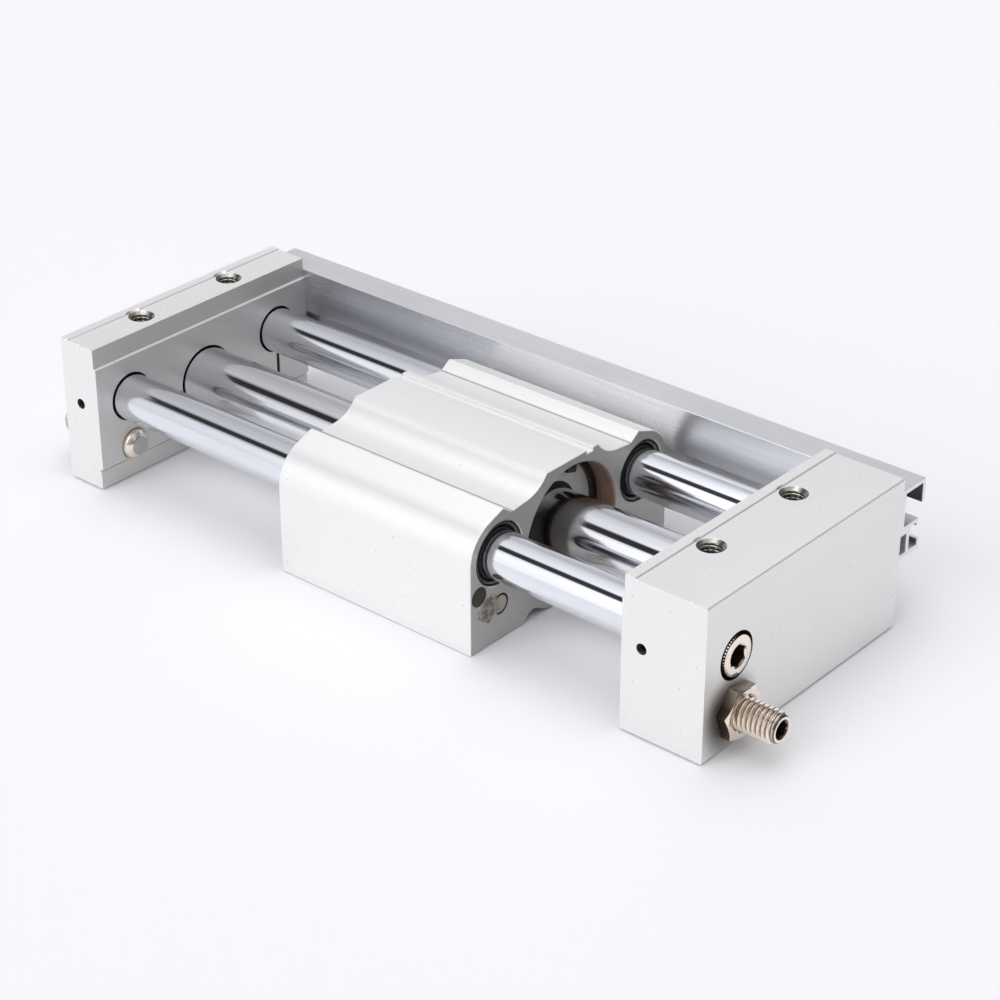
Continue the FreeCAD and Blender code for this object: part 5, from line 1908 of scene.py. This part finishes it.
@dataclass
class Wipers:
    """Rubber wipers in steel cases where the shafts enter the block.

    Attributes:
        recess: Depth of their front under the block's end.
        thick: Their thickness.
        lip_radii: Inner and outer radius of a lip.
        case_radii: Inner and outer radius of a case.
    """

    recess: float = 0.5
    thick: float = 2.6
    lip_radii: tuple[float, float] = (6.03, 7.12)
    case_radii: tuple[float, float] = (7.14, 7.82)

    def build(self) -> None:
        """Turn lips and cases for the four shaft ends."""
        lips, cases = [], []
        for y in (-SHAFT_SIDE, SHAFT_SIDE):
            for x, way in ((BLOCK_END, Axis.BACK_X), (-BLOCK_END, Axis.X)):
                centre = (x, y, SHAFT_LEVEL)
                lips.append(turned(self.lip(), way, centre, looped=True))
                cases.append(turned(self.case(), way, centre, looped=True))
        show("shaft_wiper_lips", joined(lips), RUBBER, "carriage", "rubber", "shaft_wipers")
        show("shaft_wiper_cases", joined(cases), PRESSED, "carriage", "dark_steel", "wiper_cases")

    def lip(self) -> Rows:
        """Profile of a lip: a slanted tongue on the shaft, a groove, and the rim in the case.

        Returns:
            Pairs of distance along and radius.
        """
        front, back = self.recess, self.recess + self.thick
        inner, outer = self.lip_radii
        return [
            (front + 0.2, outer),
            (front + 0.25, outer - 0.2),
            (front + 1.0, (inner + outer) / 2),
            (front + 0.2, inner + 0.25),
            (front + 0.15, inner),
            (front + 0.7, inner + 0.1),
            (back, inner + 0.1),
            (back, outer),
        ]

    def case(self) -> Rows:
        """Profile of a pressed case: a thin ring with a rolled front edge and a gap at the bore.

        Returns:
            Pairs of distance along and radius.
        """
        front, back = self.recess, self.recess + self.thick
        inner, outer = self.case_radii
        return [
            (front + 1.0, outer),
            (front + 0.9, outer - 0.25),
            (front + 0.3, outer - 0.3),
            (front, outer - 0.4),
            (front, inner + 0.2),
            (front + 0.2, inner),
            (back, inner),
            (back, outer),
        ]


def dress_nodes() -> None:
    """Give every CAD node that still shows the finish of its material slot."""
    for name, node in sorted(frame["nodes"].items()):
        for slot in node.material_slots:
            slot.material = SLOT_FINISHES[slot.material.name.split(".")[0]].material()
        if not node.hide_render:
            LOG.info("%s: CAD node, %s", name, node.material_slots[0].material.name)


# Studio


@dataclass
class Studio:
    """White sweep, soft sky of light and the camera.

    Attributes:
        camera_at: Place of the camera.
        azimuth: Angle of the camera round the unit, from the front towards the near end, degrees.
        elevation: Angle of the camera above the floor, degrees.
        lens: Focal length of the lens.
        sensor: Width of the sensor.
        clip: Nearest and farthest distance that the camera sees, in metres.
        floor_half: Half the side of the floor.
        floor_colour: Colour of the floor, sRGB hex.
        floor_glow: Light that the sweep behind the camera throws back onto the floor.
        light: Strength of the sky.
        sky_colour: Tint of the sky, sRGB hex.
        sky_angles: Angles over the unit's long axis where the sky is set: 0 behind the rail, 90
            overhead.
        sky_rows: Brightness at those angles, a row for each x of the way that the light comes from.
    """

    camera_at: Point = (371.0, -425.0, 327.35)
    azimuth: float = 40.506
    elevation: float = 28.963
    lens: float = 95.675
    sensor: float = 36.0
    clip: tuple[float, float] = (0.01, 100.0)
    floor_half: float = 6000.0
    floor_colour: str = "#F8F8F9"
    floor_glow: float = 0.022
    light: float = 2.58
    sky_colour: str = "#FBFBFF"
    sky_angles: tuple[float, ...] = (
        0.0, 22.0, 47.0, 72.0, 98.0, 105.0, 109.5, 126.0, 130.5, 140.0, 160.0, 180.0
    )
    sky_rows: tuple[tuple[float, tuple[float, ...]], ...] = (
        (-1.0, (
            0.233, 0.247, 0.247, 0.144, 0.094, 0.142,
            0.012, 0.012, 0.317, 0.382, 0.428, 0.385,
        )),
        (-0.72, (
            0.249, 0.240, 0.190, 0.168, 0.178, 0.029,
            0.012, 0.012, 0.038, 0.275, 0.285, 0.267,
        )),
        (-0.5, (
            0.320, 0.298, 0.218, 0.357, 0.435, 0.449,
            0.012, 0.012, 0.502, 0.522, 0.523, 0.482,
        )),
        (-0.4, (
            0.118, 0.106, 0.305, 0.844, 1.000, 0.991,
            0.012, 0.012, 0.960, 0.949, 0.768, 0.610,
        )),
        (0.0, (0.048, 0.048, 0.277, 0.821, 0.933, 0.905, 0.887, 0.821, 0.804, 0.766, 0.582, 0.444)),
        (0.4, (0.048, 0.048, 0.119, 0.418, 0.379, 0.361, 0.349, 0.306, 0.294, 0.269, 0.259, 0.138)),
        (1.0, (0.048, 0.048, 0.083, 0.135, 0.062, 0.060, 0.058, 0.053, 0.051, 0.048, 0.048, 0.048)),
    )

    def build(self) -> None:
        """Camera, floor and sky."""
        self.camera()
        self.floor()
        self.sky_light()

    def camera(self) -> None:
        """Camera at the measured place, turned by the measured angles."""
        a, e = math.radians(self.azimuth), math.radians(self.elevation)
        right = np.array([math.cos(a), math.sin(a), 0.0])
        back = np.array([math.sin(a) * math.cos(e), -math.cos(a) * math.cos(e), math.sin(e)])
        turn = np.eye(4)
        turn[:3, :3] = np.stack((right, np.cross(back, right), back), axis=1)
        turn[:3, 3] = np.array(self.camera_at) * MM
        data = bpy.data.cameras.new("camera")
        data.lens = self.lens
        data.sensor_width = self.sensor
        data.clip_start, data.clip_end = self.clip
        camera = bpy.data.objects.new("camera", data)
        camera.matrix_world = Matrix(turn.tolist())
        bpy.context.scene.collection.objects.link(camera)
        bpy.context.scene.camera = camera

    def floor(self) -> None:
        """Flat pale floor under the load face: a grid of one quad."""
        half = self.floor_half * MM
        corners = [(-half, -half, 0.0), (half, -half, 0.0), (half, half, 0.0), (-half, half, 0.0)]
        mesh = bpy.data.meshes.new("floor")
        mesh.from_pydata(corners, [], [(0, 1, 2, 3)])
        # Matt white paper, which scatters light evenly and shows no gloss
        made = bpy.data.materials.new("white_sweep")
        made.use_nodes = True
        made.node_tree.nodes.clear()
        paper = {
            "Base Color": linear(self.floor_colour),
            "Roughness": 0.9,
            "Specular IOR Level": 0.0,
            "Emission Color": linear(self.sky_colour),
            "Emission Strength": self.floor_glow,
        }
        surface = add(made.node_tree, "BsdfPrincipled", paper)
        add(made.node_tree, "OutputMaterial", {"Surface": surface})
        mesh.materials.append(made)
        floor = bpy.data.objects.new("floor", mesh)
        bpy.context.scene.collection.objects.link(floor)

    def sky_light(self) -> None:
        """Soft boxes and the dark gap between them, as bands of sky along the unit."""
        scene = bpy.context.scene
        scene.view_settings.view_transform = "Standard"
        world = bpy.data.worlds.new("studio")
        world.use_nodes = True
        scene.world = world
        tree = world.node_tree
        tree.nodes.clear()
        node = partial(add, tree)
        x, y, z = node("SeparateXYZ", {0: node("TexCoord", out="Generated")}).node.outputs
        over = node("Math ARCTAN2", {0: z, 1: y})
        part = node("MapRange", {0: over, 2: math.pi})
        tint = np.array(linear(self.sky_colour)[:3])
        colour, before = None, -1.0
        for along, levels in self.sky_rows:
            band = node("ValToRGB", {0: part})
            stops = band.node.color_ramp.elements
            while len(stops) < len(levels):
                stops.new(0.5)
            for stop, angle, level in zip(stops, self.sky_angles, levels):
                stop.position = angle / 180.0
                stop.color = (*(tint * level).tolist(), 1.0)
            if colour is None:
                colour = band
                continue
            share = node("MapRange", {0: x, 1: before, 2: along})
            colour = node("Mix", {"data_type": "RGBA", 0: share, 6: colour, 7: band})
            before = along
        glow = node("Background", {"Color": colour, "Strength": self.light})
        node("OutputWorld", {"Surface": glow})


def main() -> None:
    """Build the sub-assemblies in order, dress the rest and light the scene."""
    logging.basicConfig(level=logging.INFO, format="%(message)s")
    pieces = (
        NearPlate(),
        FarPlate(),
        SlideBlock(),
        SwitchRail(),
        TubeAndShafts(),
        Adjuster("near", NEAR_FACE, inside=27.35, tail=12.7, out=Axis.X),
        Adjuster("far", FAR_FACE, inside=14.35, tail=11.2, out=Axis.BACK_X),
        Screws(),
        Wipers(),
    )
    for piece in pieces:
        piece.build()
    dress_nodes()
    Studio().build()


if __name__ == "__main__":
    main()
